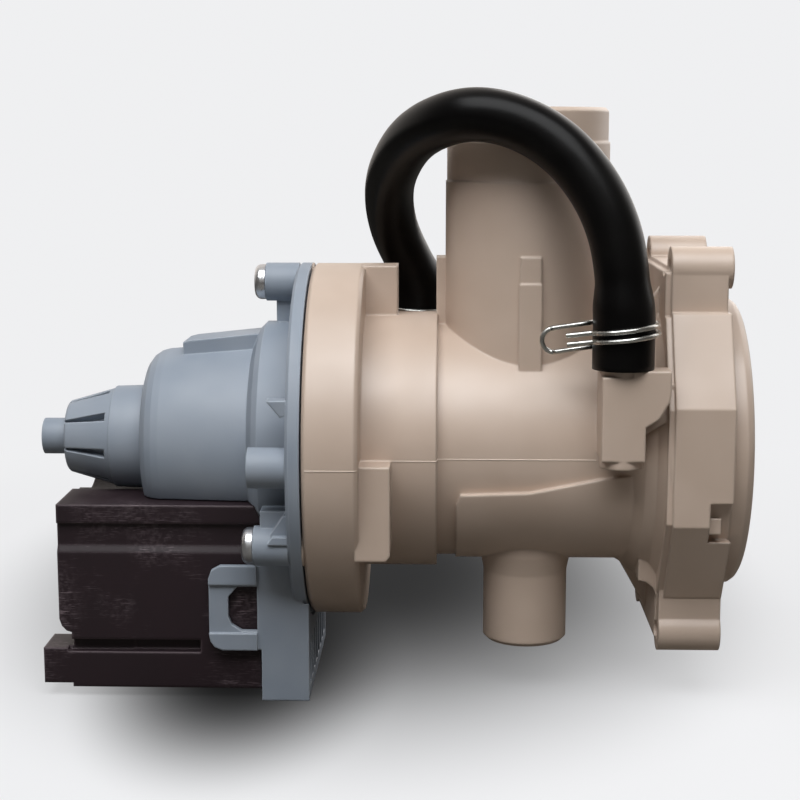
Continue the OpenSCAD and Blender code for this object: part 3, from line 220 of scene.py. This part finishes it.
# Every moulding has softly rounded edges, fine grain and slight sink waves
moulded_skin, given, made = shader_group(
    "moulded_skin",
    {"Edge Radius": 0.8 * MM, "Grain Scale": 1500, "Grain Height": 0.01 * MM, "Wave Height": 0.03 * MM},
    {"Normal": "NodeSocketVector", "Edge": "NodeSocketFloat", "Mottle": "NodeSocketFloat"},
)
place = add(moulded_skin, "ShaderNodeTexCoord").outputs["Object"]
rounded = add(moulded_skin, "ShaderNodeBevel", {"Radius": given["Edge Radius"]}, samples=8).outputs[0]


def noise(tree, place, scale, detail):
    """The grey value of a Noise Texture node."""
    cells = {"Vector": place, "Scale": scale, "Detail": detail}
    return add(tree, "ShaderNodeTexNoise", cells).outputs["Fac"]


grain = noise(moulded_skin, place, given["Grain Scale"], 3.0)
wave = noise(moulded_skin, place, 70.0, 1.5)
grained = calculate(moulded_skin, "MULTIPLY", grain, given["Grain Height"])
height = calculate(moulded_skin, "MULTIPLY_ADD", wave, given["Wave Height"], grained)
lifted = {"Strength": 1.0, "Distance": 1.0, "Height": height, "Normal": rounded}
relief = add(moulded_skin, "ShaderNodeBump", lifted).outputs[0]
# The rounded normal and the flat one part only along an edge
flat = add(moulded_skin, "ShaderNodeNewGeometry").outputs["Normal"]
bend = add(moulded_skin, "ShaderNodeVectorMath", {0: rounded, 1: flat}, operation="DOT_PRODUCT")
turn = bend.outputs["Value"]
moulded_skin.links.new(relief, made["Normal"])
moulded_skin.links.new(ramp(moulded_skin, turn, 0.995, 0.80), made["Edge"])
moulded_skin.links.new(wave, made["Mottle"])


def principled(name, **plain):
    """A new material with a Principled BSDF, and its plain sockets set."""
    material = bpy.data.materials.new(name)
    material.use_nodes = True
    skin = material.node_tree.nodes["Principled BSDF"]
    for label, value in plain.items():
        skin.inputs[label.replace("_", " ")].default_value = value
    return material, material.node_tree, skin


def spread(tree, value, old, new, socket):
    """Feeds value to a socket, with its old range of two limits laid over the new one."""
    limits = {"Value": value, "From Min": old[0], "From Max": old[1], "To Min": new[0], "To Max": new[1]}
    tree.links.new(add(tree, "ShaderNodeMapRange", limits).outputs[0], socket)


def moulding(name, colour, pale_edge, dark_patch, roughness, radius, grain, wave, specular=0.5):
    """A moulded or pressed material, mottled a little, and paler along its edges as wear and as a
    painted highlight.
    """
    material, tree, skin = principled(name, IOR=1.5, Specular_IOR_Level=specular)
    form = {"Edge Radius": radius, "Grain Height": grain, "Wave Height": wave}
    shape = tree.nodes.new("ShaderNodeGroup")
    shape.node_tree = moulded_skin
    for label, value in form.items():
        shape.inputs[label].default_value = value
    mottle = shape.outputs["Mottle"]
    body = blend(tree, ramp(tree, mottle, 0.38, 0.66), (*dark_patch, 1), (*colour, 1))
    # Edges are painted paler, partly as wear and partly as a painted highlight
    edge_wear_and_highlight = blend(tree, shape.outputs["Edge"], body, (*pale_edge, 1))
    tree.links.new(edge_wear_and_highlight, skin.inputs["Base Color"])
    spread(tree, mottle, (0.3, 0.7), (roughness + 0.05, roughness - 0.04), skin.inputs["Roughness"])
    tree.links.new(shape.outputs["Normal"], skin.inputs["Normal"])
    return material


def dress(node, material):
    """Gives a CAD piece its finish."""
    nodes[node].data.materials.clear()
    nodes[node].data.materials.append(material)


body_plastic = moulding(
    "beige_polypropylene",
    colour=(0.566, 0.445, 0.361),
    pale_edge=(0.605, 0.486, 0.398),
    dark_patch=(0.531, 0.412, 0.329),
    roughness=0.46,
    radius=0.9 * MM,
    grain=0.006 * MM,
    wave=0.05 * MM,
    specular=0.95,
)
dress("pump_housing", body_plastic)


def shape_tree(name, sizes):
    """An empty Geometry Nodes tree with inputs for its sizes {name: socket type} and finish."""
    tree = bpy.data.node_groups.new(name, "GeometryNodeTree")
    tree.interface.new_socket("Geometry", in_out="INPUT", socket_type="NodeSocketGeometry")
    for label, kind in sizes.items():
        tree.interface.new_socket(label, in_out="INPUT", socket_type=kind)
    tree.interface.new_socket("Finish", in_out="INPUT", socket_type="NodeSocketMaterial")
    tree.interface.new_socket("Geometry", in_out="OUTPUT", socket_type="NodeSocketGeometry")
    return tree, tree.nodes.new("NodeGroupInput").outputs


def step(tree, kind, inputs=None, **settings):
    """The geometry or value that a node gives."""
    return add(tree, kind, inputs, **settings).outputs[0]


def end_tree(tree, geometry, given):
    """Ends a tree with real, finished geometry."""
    real = step(tree, "GeometryNodeRealizeInstances", {"Geometry": geometry})
    finished = {"Geometry": real, "Material": given["Finish"]}
    coated = step(tree, "GeometryNodeSetMaterial", finished)
    tree.links.new(coated, tree.nodes.new("NodeGroupOutput").inputs[0])


# A round wire along a curve, closed at its ends
wire_tree, given = shape_tree(
    "round_wire", {"Wire Radius": "NodeSocketFloat", "Sides": "NodeSocketInt"}
)
circle = {"Resolution": given["Sides"], "Radius": given["Wire Radius"]}
section = step(wire_tree, "GeometryNodeCurvePrimitiveCircle", circle)
along_wire = {"Curve": given["Geometry"], "Profile Curve": section, "Fill Caps": True}
swept = step(wire_tree, "GeometryNodeCurveToMesh", along_wire)
end_tree(wire_tree, step(wire_tree, "GeometryNodeSetShadeSmooth", {"Geometry": swept}), given)


def build(name, source, tree, **values):
    """The plain mesh that a Geometry Nodes tree makes of source, with its named inputs set."""
    modifier = source.modifiers.new("make", "NODES")
    modifier.node_group = tree
    for item in tree.interface.items_tree:
        label = item.name.replace(" ", "_").lower()
        if item.in_out == "INPUT" and label in values:
            modifier[item.identifier] = values[label]
    bpy.context.view_layer.update()
    evaluated = source.evaluated_get(bpy.context.evaluated_depsgraph_get())
    mesh = bpy.data.meshes.new_from_object(evaluated)
    mesh.name = name
    piece = bpy.data.objects.new(name, mesh)
    scene.collection.objects.link(piece)
    bpy.data.objects.remove(source)
    return piece


def guide(name, runs):
    """A curve object of open runs, each a list of points in metres."""
    data = bpy.data.curves.new(name, "CURVE")
    data.dimensions = "3D"
    for run in runs:
        spline = data.splines.new("POLY")
        spline.points.add(len(run) - 1)
        for point, spot in zip(spline.points, run):
            point.co = (*spot, 1)
    holder = bpy.data.objects.new(name, data)
    scene.collection.objects.link(holder)
    return holder


# The flash is the housing's own plastic, drawn paler as a painted highlight along its thin ridge
flash_painted_highlight = moulding(
    "pale_mould_flash",
    colour=(0.74, 0.63, 0.54),
    pale_edge=(0.74, 0.63, 0.54),
    dark_patch=(0.66, 0.55, 0.46),
    roughness=0.55,
    radius=0.1 * MM,
    grain=0.006 * MM,
    wave=0.01 * MM,
)
# The line lies at one height on both sides, from the clamping ring to the hose block
mould_start, mould_end, mould_step, mould_z = -103.6, -32.6, 0.25, 0.2
flash_r, flash_sink, well_outside = 0.16, 0.04, 100.0
housing_mesh = nodes["pump_housing"].data
housing_skin = BVHTree.FromPolygons(
    [v.co for v in housing_mesh.vertices], [tuple(p.vertices) for p in housing_mesh.polygons]
)
mould_lines = []
for side in (-1, 1):
    run = []
    for i in range(int((mould_end - mould_start) / mould_step) + 1):
        far_out = Vector((mould_start + i * mould_step, side * well_outside, mould_z)) * MM
        hit = housing_skin.ray_cast(far_out, Vector((0, -side, 0)))[0]
        if hit:
            run.append((hit.x, hit.y - side * flash_sink * MM, hit.z))
    mould_lines.append(run)
parting_line = build(
    "parting_line",
    guide("parting_path", mould_lines),
    wire_tree,
    wire_radius=flash_r * MM,
    sides=8,
    finish=flash_painted_highlight,
)
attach(parting_line, "casing")

# Impeller and its drive.
# White glass-filled nylon vanes on a ground steel shaft. The dog under them lets the
# rotor swing half a turn before it takes the vanes along.
white_plastic = moulding(
    "white_nylon",
    colour=(0.74, 0.73, 0.69),
    pale_edge=(0.80, 0.79, 0.76),
    dark_patch=(0.69, 0.67, 0.62),
    roughness=0.42,
    radius=0.4 * MM,
    grain=0.008 * MM,
    wave=0.02 * MM,
)
dress("impeller", white_plastic)
dress("drive_dog", white_plastic)


def metal(name, colour, tarnish, roughness, across, radius):
    """A plated or ground metal, with noise that is squeezed into fine lines by across."""
    material, tree, skin = principled(name, Metallic=1.0)
    place = add(tree, "ShaderNodeTexCoord").outputs["Object"]
    drawn = add(tree, "ShaderNodeMapping", {"Vector": place, "Scale": across}).outputs[0]
    lines = noise(tree, drawn, 900.0, 3.0)
    stain = noise(tree, place, 350.0, 4.0)
    tone = blend(tree, ramp(tree, stain, 0.45, 0.62), (*colour, 1), (*tarnish, 1))
    tree.links.new(tone, skin.inputs["Base Color"])
    spread(tree, stain, (0.3, 0.7), (roughness - 0.06, roughness + 0.12), skin.inputs["Roughness"])
    soft = add(tree, "ShaderNodeBevel", {"Radius": radius}, samples=6).outputs[0]
    brushed = {"Strength": 0.35, "Distance": 0.02 * MM, "Height": lines, "Normal": soft}
    tree.links.new(add(tree, "ShaderNodeBump", brushed).outputs[0], skin.inputs["Normal"])
    return material


ground_steel = metal(
    "ground_steel", (0.60, 0.61, 0.62), (0.50, 0.50, 0.51), 0.24, across=(40, 1, 1), radius=0.15 * MM
)
dress("rotor_shaft", ground_steel)
dress("impeller_clip", ground_steel)

# Rotor.
# A sintered ferrite magnet on the steel shaft, which runs in two carbon bushes. The
# front bush sits in a dark plastic holder, and the rear one in the motor housing.
ferrite = moulding(
    "ferrite_magnet",
    colour=(0.065, 0.065, 0.070),
    pale_edge=(0.13, 0.13, 0.135),
    dark_patch=(0.045, 0.045, 0.050),
    roughness=0.55,
    radius=0.3 * MM,
    grain=0.02 * MM,
    wave=0.02 * MM,
)
dress("rotor_magnet", ferrite)
dress("thrust_washers", white_plastic)

carbon = moulding(
    "carbon_bush",
    colour=(0.035, 0.035, 0.037),
    pale_edge=(0.09, 0.09, 0.09),
    dark_patch=(0.025, 0.025, 0.026),
    roughness=0.38,
    radius=0.2 * MM,
    grain=0.01 * MM,
    wave=0.01 * MM,
)
dress("front_bush", carbon)
dress("rear_bush", carbon)

dark_plastic = moulding(
    "dark_polypropylene",
    colour=(0.050, 0.054, 0.060),
    pale_edge=(0.10, 0.105, 0.11),
    dark_patch=(0.040, 0.043, 0.048),
    roughness=0.42,
    radius=0.6 * MM,
    grain=0.015 * MM,
    wave=0.03 * MM,
)
dress("bearing_holder", dark_plastic)

# Motor housing.
# Grey-blue polypropylene: the can that keeps the rotor wet, its finned nose, the
# screw bosses, and the bracket whose side clips hold the stator.
motor_plastic = moulding(
    "grey_blue_polypropylene",
    colour=(0.288, 0.324, 0.376),
    pale_edge=(0.42, 0.465, 0.525),
    dark_patch=(0.252, 0.291, 0.346),
    roughness=0.54,
    radius=0.6 * MM,
    grain=0.006 * MM,
    wave=0.05 * MM,
)
dress("motor_housing", motor_plastic)

# Seals.
# Black nitrile rubber: the flat ring between the two housings and the two O-rings.
seal_rubber = moulding(
    "nitrile_rubber",
    colour=(0.016, 0.016, 0.017),
    pale_edge=(0.040, 0.040, 0.041),
    dark_patch=(0.012, 0.012, 0.012),
    roughness=0.50,
    radius=0.3 * MM,
    grain=0.01 * MM,
    wave=0.02 * MM,
)
for node in ("housing_gasket", "holder_seal", "filter_seal"):
    dress(node, seal_rubber)

# Housing screws.
# Three zinc-plated self-tapping screws with round-edged pan heads and crossed
# recesses, turned from one outline and set round the joint.
screw_count, screw_circle_r = 3, 41.5 * MM
screw_r, screw_head_r, screw_head_t, screw_edge = 2.0 * MM, 4.6 * MM, 3.0 * MM, 1.7 * MM
head_bevel, tip_len, crease_angle = 0.2 * MM, 2.0 * MM, math.radians(35)
recess_len, recess_width, recess_depth = 5.2 * MM, 1.0 * MM, 1.6 * MM
screw_low, screw_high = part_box("flange_screws")
screw_len = screw_high[0] - screw_low[0]

screw_tree, given = shape_tree(
    "screw_ring",
    {
        "Count": "NodeSocketInt",
        "Circle Radius": "NodeSocketFloat",
        "Recess Long": "NodeSocketVector",
        "Recess Across": "NodeSocketVector",
    },
)
crossed = add(screw_tree, "GeometryNodeMeshBoolean", {"Mesh 1": given["Geometry"]}, solver="EXACT")
for size in ("Recess Long", "Recess Across"):
    bar = step(screw_tree, "GeometryNodeMeshCube", {"Size": given[size]})
    screw_tree.links.new(bar, crossed.inputs["Mesh 2"])
smooth = step(screw_tree, "GeometryNodeSetShadeSmooth", {"Geometry": crossed.outputs[0]})
corner = add(screw_tree, "GeometryNodeInputMeshEdgeAngle").outputs["Unsigned Angle"]
sharp = calculate(screw_tree, "GREATER_THAN", corner, crease_angle)
edges = {"Geometry": smooth, "Selection": sharp, "Shade Smooth": False}
crisp = step(screw_tree, "GeometryNodeSetShadeSmooth", edges, domain="EDGE")
circle = {"Vertices": given["Count"], "Radius": given["Circle Radius"]}
ring = step(screw_tree, "GeometryNodeMeshCircle", circle)
set_round = step(screw_tree, "GeometryNodeInstanceOnPoints", {"Points": ring, "Instance": crisp})
# The circle is drawn flat with its first point at +X, and stands up round the pump's axis
standing = {"Geometry": set_round, "Rotation": (0, -math.pi / 2, 0)}
upright = step(screw_tree, "GeometryNodeTransform", standing)
in_place = {"Geometry": upright, "Translation": (screw_low[0], 0, 0)}
end_tree(screw_tree, step(screw_tree, "GeometryNodeTransform", in_place), given)


def turned(name, outline, sides):
    """A closed solid turned round Z from (radius, z) points, the first and last on the axis."""
    rings, verts, faces = [], [], []
    for radius, z in outline:
        count = sides if radius > 0 else 1
        rings.append(range(len(verts), len(verts) + count))
        for k in range(count):
            a = 2 * math.pi * k / sides
            verts.append((radius * math.cos(a), radius * math.sin(a), z))
    for low, high in zip(rings, rings[1:]):
        for k in range(sides):
            j = (k + 1) % sides
            if len(low) == 1:
                faces.append((low[0], high[k], high[j]))
            elif len(high) == 1:
                faces.append((low[j], low[k], high[0]))
            else:
                faces.append((low[j], low[k], high[k], high[j]))
    mesh = bpy.data.meshes.new(name)
    mesh.from_pydata(verts, [], faces)
    mesh.flip_normals()
    holder = bpy.data.objects.new(name, mesh)
    scene.collection.objects.link(holder)
    return holder


# Drawn with the head's face at Z 0 and the tip below it, to be stood along +X
arc = [math.radians(a) for a in range(0, 91, 10)]
screw_outline = [(0, 0)]
screw_outline += [
    (screw_head_r - screw_edge * (1 - math.sin(a)), -screw_edge * (1 - math.cos(a))) for a in arc
]
screw_outline += [
    (screw_head_r, head_bevel - screw_head_t),
    (screw_head_r - head_bevel, -screw_head_t),
    (screw_r, -screw_head_t),
    (screw_r, tip_len - screw_len),
    (0.5 * screw_r, -screw_len),
    (0, -screw_len),
]
zinc = metal(
    "zinc_plate", (0.66, 0.67, 0.69), (0.50, 0.51, 0.54), 0.30, across=(1, 1, 1), radius=0.25 * MM
)
screws = build(
    "pan_head_screws",
    turned("screw_blank", screw_outline, sides=48),
    screw_tree,
    count=screw_count,
    circle_radius=screw_circle_r,
    recess_long=(recess_len, recess_width, 2 * recess_depth),
    recess_across=(recess_width, recess_len, 2 * recess_depth),
    finish=zinc,
)
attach(screws, "casing")
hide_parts("flange_screws")

# Stator.
# Coils on a laminated steel core, cast into a block of dark filled resin that
# scuffs to a dull pink. The plug's two blades stand in a socket at its end.
scratches, given, made = shader_group(
    "scratches",
    {"Scale": 300.0, "Amount": 0.5},
    {"Scratch": "NodeSocketFloat", "Dust": "NodeSocketFloat"},
)
place = add(scratches, "ShaderNodeTexCoord").outputs["Object"]
total = 0.0
for angle, squeeze in ((25, 14), (-50, 18), (80, 10)):
    turned_by = (0, math.radians(angle), 0)
    stretched = {"Vector": place, "Rotation": turned_by, "Scale": (1, squeeze, squeeze)}
    line = noise(scratches, step(scratches, "ShaderNodeMapping", stretched), given["Scale"], 2.0)
    total = calculate(scratches, "MAXIMUM", total, ramp(scratches, line, 0.63, 0.72))
cloud = noise(scratches, place, 45.0, 5.0)
local = calculate(scratches, "MULTIPLY", total, ramp(scratches, cloud, 0.48, 0.68))
fine = ramp(scratches, noise(scratches, place, 900.0, 3.0), 0.42, 0.66)
dusty = calculate(scratches, "MULTIPLY", fine, ramp(scratches, cloud, 0.50, 0.80))
for label, mask in (("Scratch", local), ("Dust", dusty)):
    scratches.links.new(calculate(scratches, "MULTIPLY", mask, given["Amount"]), made[label])


def scuff(material, scale, amount, pale):
    """Adds pale scratches and dust to a moulding."""
    tree = material.node_tree
    skin = tree.nodes["Principled BSDF"]
    before = skin.inputs["Base Color"].links[0].from_socket
    marks = tree.nodes.new("ShaderNodeGroup")
    marks.node_tree = scratches
    marks.inputs["Scale"].default_value = scale
    marks.inputs["Amount"].default_value = amount
    dust = calculate(tree, "MULTIPLY", marks.outputs["Dust"], 0.5)
    powdered = blend(tree, dust, before, (*pale, 1))
    marked = blend(tree, marks.outputs["Scratch"], powdered, (*pale, 1))
    tree.links.new(marked, skin.inputs["Base Color"])


stator_resin = moulding(
    "dark_resin",
    colour=(0.022, 0.0125, 0.0160),
    pale_edge=(0.085, 0.060, 0.068),
    dark_patch=(0.019, 0.011, 0.014),
    roughness=0.52,
    radius=1.1 * MM,
    grain=0.012 * MM,
    wave=0.05 * MM,
    specular=0.33,
)
scuff(stator_resin, scale=260.0, amount=0.85, pale=(0.20, 0.155, 0.17))
dress("stator_cover", stator_resin)
dress("near_bobbin", white_plastic)
dress("far_bobbin", white_plastic)

lamination = metal(
    "stamped_laminations",
    (0.42, 0.43, 0.45),
    (0.26, 0.23, 0.21),
    0.42,
    across=(60, 1, 1),
    radius=0.1 * MM,
)
dress("lamination_stack", lamination)
copper = metal(
    "enamelled_copper", (0.62, 0.24, 0.10), (0.45, 0.15, 0.06), 0.30, across=(1, 1, 40), radius=0.3 * MM
)
dress("near_winding", copper)
dress("far_winding", copper)
tinned = metal(
    "tinned_brass", (0.72, 0.64, 0.42), (0.60, 0.52, 0.33), 0.28, across=(1, 1, 20), radius=0.15 * MM
)
dress("connector_terminals", tinned)

# Filter.
# A grey moulded lint basket, in whose bore the stem of a dark screw cap turns. An O-ring
# seals the cap in the collar.
basket_plastic = moulding(
    "grey_basket_plastic",
    colour=(0.27, 0.285, 0.30),
    pale_edge=(0.34, 0.355, 0.37),
    dark_patch=(0.24, 0.25, 0.265),
    roughness=0.44,
    radius=0.5 * MM,
    grain=0.008 * MM,
    wave=0.03 * MM,
)
dress("filter_insert", basket_plastic)
dress("filter_cap", dark_plastic)

# Bypass hose.
# A formed black rubber hose, pushed over both stubs, which stretch its ends. It is
# held at both ends and keeps its moulded bends, so it is no loose cord.
near_seat = Vector((-27.2, -37.5, 24.1))
far_seat = Vector((-77.5, 30.0, 24.0))
near_run = [
    (0, 0, 0), (0, 0, 6), (0, 0, 12), (-0.5, 0.2, 20), (-1.4, 0.6, 29), (-4.6, 2.1, 38.6),
    (-9.7, 4.1, 46.8), (-16.1, 6.5, 53.6), (-23.2, 8.5, 57.8), (-30, 9, 60.1), (-36.8, 10.5, 61),
]
far_run = [
    (7.5, -52.5, 59.5), (2.5, -46, 57.5), (-2, -38, 54), (-5, -30, 49.5), (-7.5, -22, 44),
    (-8, -15, 37.5), (-7, -10, 30.5), (-4.2, -5.4, 24), (-1.1, -1.4, 18), (0, 0, 12.5),
    (0, 0, 6), (0, 0, 0),
]
hose_route = [(near_seat + Vector(p)) * MM for p in near_run]
hose_route += [(far_seat + Vector(p)) * MM for p in far_run]
hose_bore_r, hose_wall, end_bore_r = 4.5 * MM, 2.05 * MM, 5.45 * MM
grip_len, taper_len, hose_step, evening_rounds = 14.0 * MM, 8.0 * MM, 1.2 * MM, 30

hose_tree, given = shape_tree(
    "stretched_hose",
    {
        "Bore Radius": "NodeSocketFloat",
        "End Bore Radius": "NodeSocketFloat",
        "Wall": "NodeSocketFloat",
        "Grip Length": "NodeSocketFloat",
        "Taper Length": "NodeSocketFloat",
        "Sides": "NodeSocketInt",
    },
)
route = {"Curve": given["Geometry"]}
bent = step(hose_tree, "GeometryNodeCurveSplineType", route, spline_type="CATMULL_ROM")
fluent = step(hose_tree, "GeometryNodeSetSplineResolution", {"Geometry": bent, "Resolution": 12})
steps = {"Curve": fluent, "Length": hose_step}
even = step(hose_tree, "GeometryNodeResampleCurve", steps, mode="LENGTH")
along = add(hose_tree, "GeometryNodeSplineParameter").outputs["Length"]
total_len = add(hose_tree, "GeometryNodeSplineLength").outputs["Length"]
from_end = calculate(hose_tree, "MINIMUM", along, calculate(hose_tree, "SUBTRACT", total_len, along))
# The bends are evened out, while the ends stay straight on their stubs
loose = ramp(hose_tree, from_end, given["Grip Length"], 2 * grip_len)
spots = step(hose_tree, "GeometryNodeInputPosition")
blurred = {"Value": spots, "Iterations": evening_rounds, "Weight": loose}
evened = step(hose_tree, "GeometryNodeBlurAttribute", blurred, data_type="FLOAT_VECTOR")
path = step(hose_tree, "GeometryNodeSetPosition", {"Geometry": even, "Position": evened})
taper_end = calculate(hose_tree, "ADD", given["Grip Length"], given["Taper Length"])
stretch = ramp(hose_tree, from_end, taper_end, given["Grip Length"], "SMOOTHSTEP")
wider = calculate(hose_tree, "SUBTRACT", given["End Bore Radius"], given["Bore Radius"])
bore = calculate(hose_tree, "MULTIPLY_ADD", stretch, wider, given["Bore Radius"])
circle = {"Resolution": given["Sides"], "Radius": 1.0}
section = step(hose_tree, "GeometryNodeCurvePrimitiveCircle", circle)
bore_line = {"Curve": path, "Profile Curve": section, "Scale": bore}
lining = step(hose_tree, "GeometryNodeCurveToMesh", bore_line)
outwards = {"Mesh": lining, "Offset Scale": given["Wall"], "Individual": False}
thick = step(hose_tree, "GeometryNodeExtrudeMesh", outwards)
inside = step(hose_tree, "GeometryNodeFlipFaces", {"Mesh": lining})
joined = add(hose_tree, "GeometryNodeJoinGeometry")
hose_tree.links.new(thick, joined.inputs[0])
hose_tree.links.new(inside, joined.inputs[0])
both_skins = {"Geometry": joined.outputs[0], "Distance": 0.001 * MM}
closed = step(hose_tree, "GeometryNodeMergeByDistance", both_skins)
end_tree(hose_tree, step(hose_tree, "GeometryNodeSetShadeSmooth", {"Geometry": closed}), given)

hose_rubber, tree, skin = principled("black_hose_rubber", IOR=1.5, Specular_IOR_Level=0.13)
place = add(tree, "ShaderNodeTexCoord").outputs["Object"]
bloom = noise(tree, place, 55.0, 3.0)
speck = noise(tree, place, 2600.0, 2.0)
deep_black, bloomed_black = (0.0020, 0.0018, 0.0019, 1), (0.0042, 0.0039, 0.0037, 1)
tone = blend(tree, ramp(tree, bloom, 0.42, 0.72), deep_black, bloomed_black)
tree.links.new(tone, skin.inputs["Base Color"])
spread(tree, bloom, (0.35, 0.7), (0.29, 0.38), skin.inputs["Roughness"])
lip = add(tree, "ShaderNodeBevel", {"Radius": 0.6 * MM}, samples=6).outputs[0]
rough_skin = {"Strength": 0.5, "Distance": 0.03 * MM, "Height": speck, "Normal": lip}
tree.links.new(add(tree, "ShaderNodeBump", rough_skin).outputs[0], skin.inputs["Normal"])

bypass_tube = build(
    "bypass_tube",
    guide("hose_path", [hose_route]),
    hose_tree,
    bore_radius=hose_bore_r,
    end_bore_radius=end_bore_r,
    wall=hose_wall,
    grip_length=grip_len,
    taper_length=taper_len,
    sides=40,
    finish=hose_rubber,
)
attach(bypass_tube, "casing")
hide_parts("bypass_hose")

# Spring clamps.
# Each is bent from one drawn steel wire: two turns round the hose, a long ear that
# joins them, and two short ends to squeeze against it.
wire_r, clamp_gap, clamp_clearance = 0.62, 1.08, 0.15
clamp_r = (end_bore_r + hose_wall) / MM + wire_r + clamp_clearance
ear_half, ear_len, ear_side, free_end = 2.9, 11.4, 0.5, ((5.6, -2.2), (2.6, -2.7))
clamp_tilt, coil_start, coil_turn, coil_steps = 7.0, 200, 320, 44
clamp_steel = metal(
    "drawn_spring_wire", (0.57, 0.575, 0.55), (0.38, 0.38, 0.36), 0.22, across=(1, 1, 1), radius=0.1 * MM
)


def smooth_path(points, steps):
    """Points on a smooth curve through the given ones."""
    last = len(points) - 1
    path = []
    for i in range(last):
        a, b, c, d = points[max(i - 1, 0)], points[i], points[i + 1], points[min(i + 2, last)]
        squared, cubed = 2 * a - 5 * b + 4 * c - d, 3 * b - a - 3 * c + d
        for k in range(steps):
            t = k / steps
            path.append(0.5 * (2 * b + (c - a) * t + squared * t**2 + cubed * t**3))
    return path + [points[-1]]


def clamp_path(seat, lift, turn):
    """The wire's middle line, in metres, for a clamp whose ear points to -X before its turn."""
    # The free end, a turn that spreads over its last part, the ear's leg and its round tip
    half = [Vector((-clamp_r - out, y, clamp_gap)) for out, y in free_end]
    for k in range(coil_steps + 1):
        a = math.radians(coil_start + coil_turn * k / coil_steps)
        z = clamp_gap + (ear_half - clamp_gap) * max(0.0, k / coil_steps * 2.2 - 1.2)
        half.append(Vector((clamp_r * math.cos(a), clamp_r * math.sin(a), z)))
    ear = -clamp_r - ear_len
    half.append(Vector((-clamp_r - 3, 2.0, ear_half)))
    half.append(Vector((ear + ear_half, 0.8, ear_half)))
    for a in (75, 60, 45, 30, 15):
        a = math.radians(a)
        half.append(Vector((ear + ear_half * (1 - math.cos(a)), ear_side, ear_half * math.sin(a))))
    other = [Vector((p.x, p.y, -p.z)) for p in reversed(half)]
    points = smooth_path(half + [Vector((ear, ear_side, 0))] + other, 3)
    put = (
        Matrix.Translation(seat + Vector((0, 0, lift)))
        @ Matrix.Rotation(math.radians(turn), 4, "Z")
        @ Matrix.Rotation(math.radians(-clamp_tilt), 4, "Y")
    )
    return [tuple((put @ p) * MM) for p in points]


for name, node, seat, lift, turn in (
    ("front_clamp_wire", "front_hose_clamp", near_seat, 8.8, 0),
    ("rear_clamp_wire", "rear_hose_clamp", far_seat, 5.4, 180),
):
    clamp = build(
        name,
        guide(name + "_path", [clamp_path(seat, lift, turn)]),
        wire_tree,
        wire_radius=wire_r * MM,
        sides=14,
        finish=clamp_steel,
    )
    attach(clamp, "casing")
    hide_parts(node)
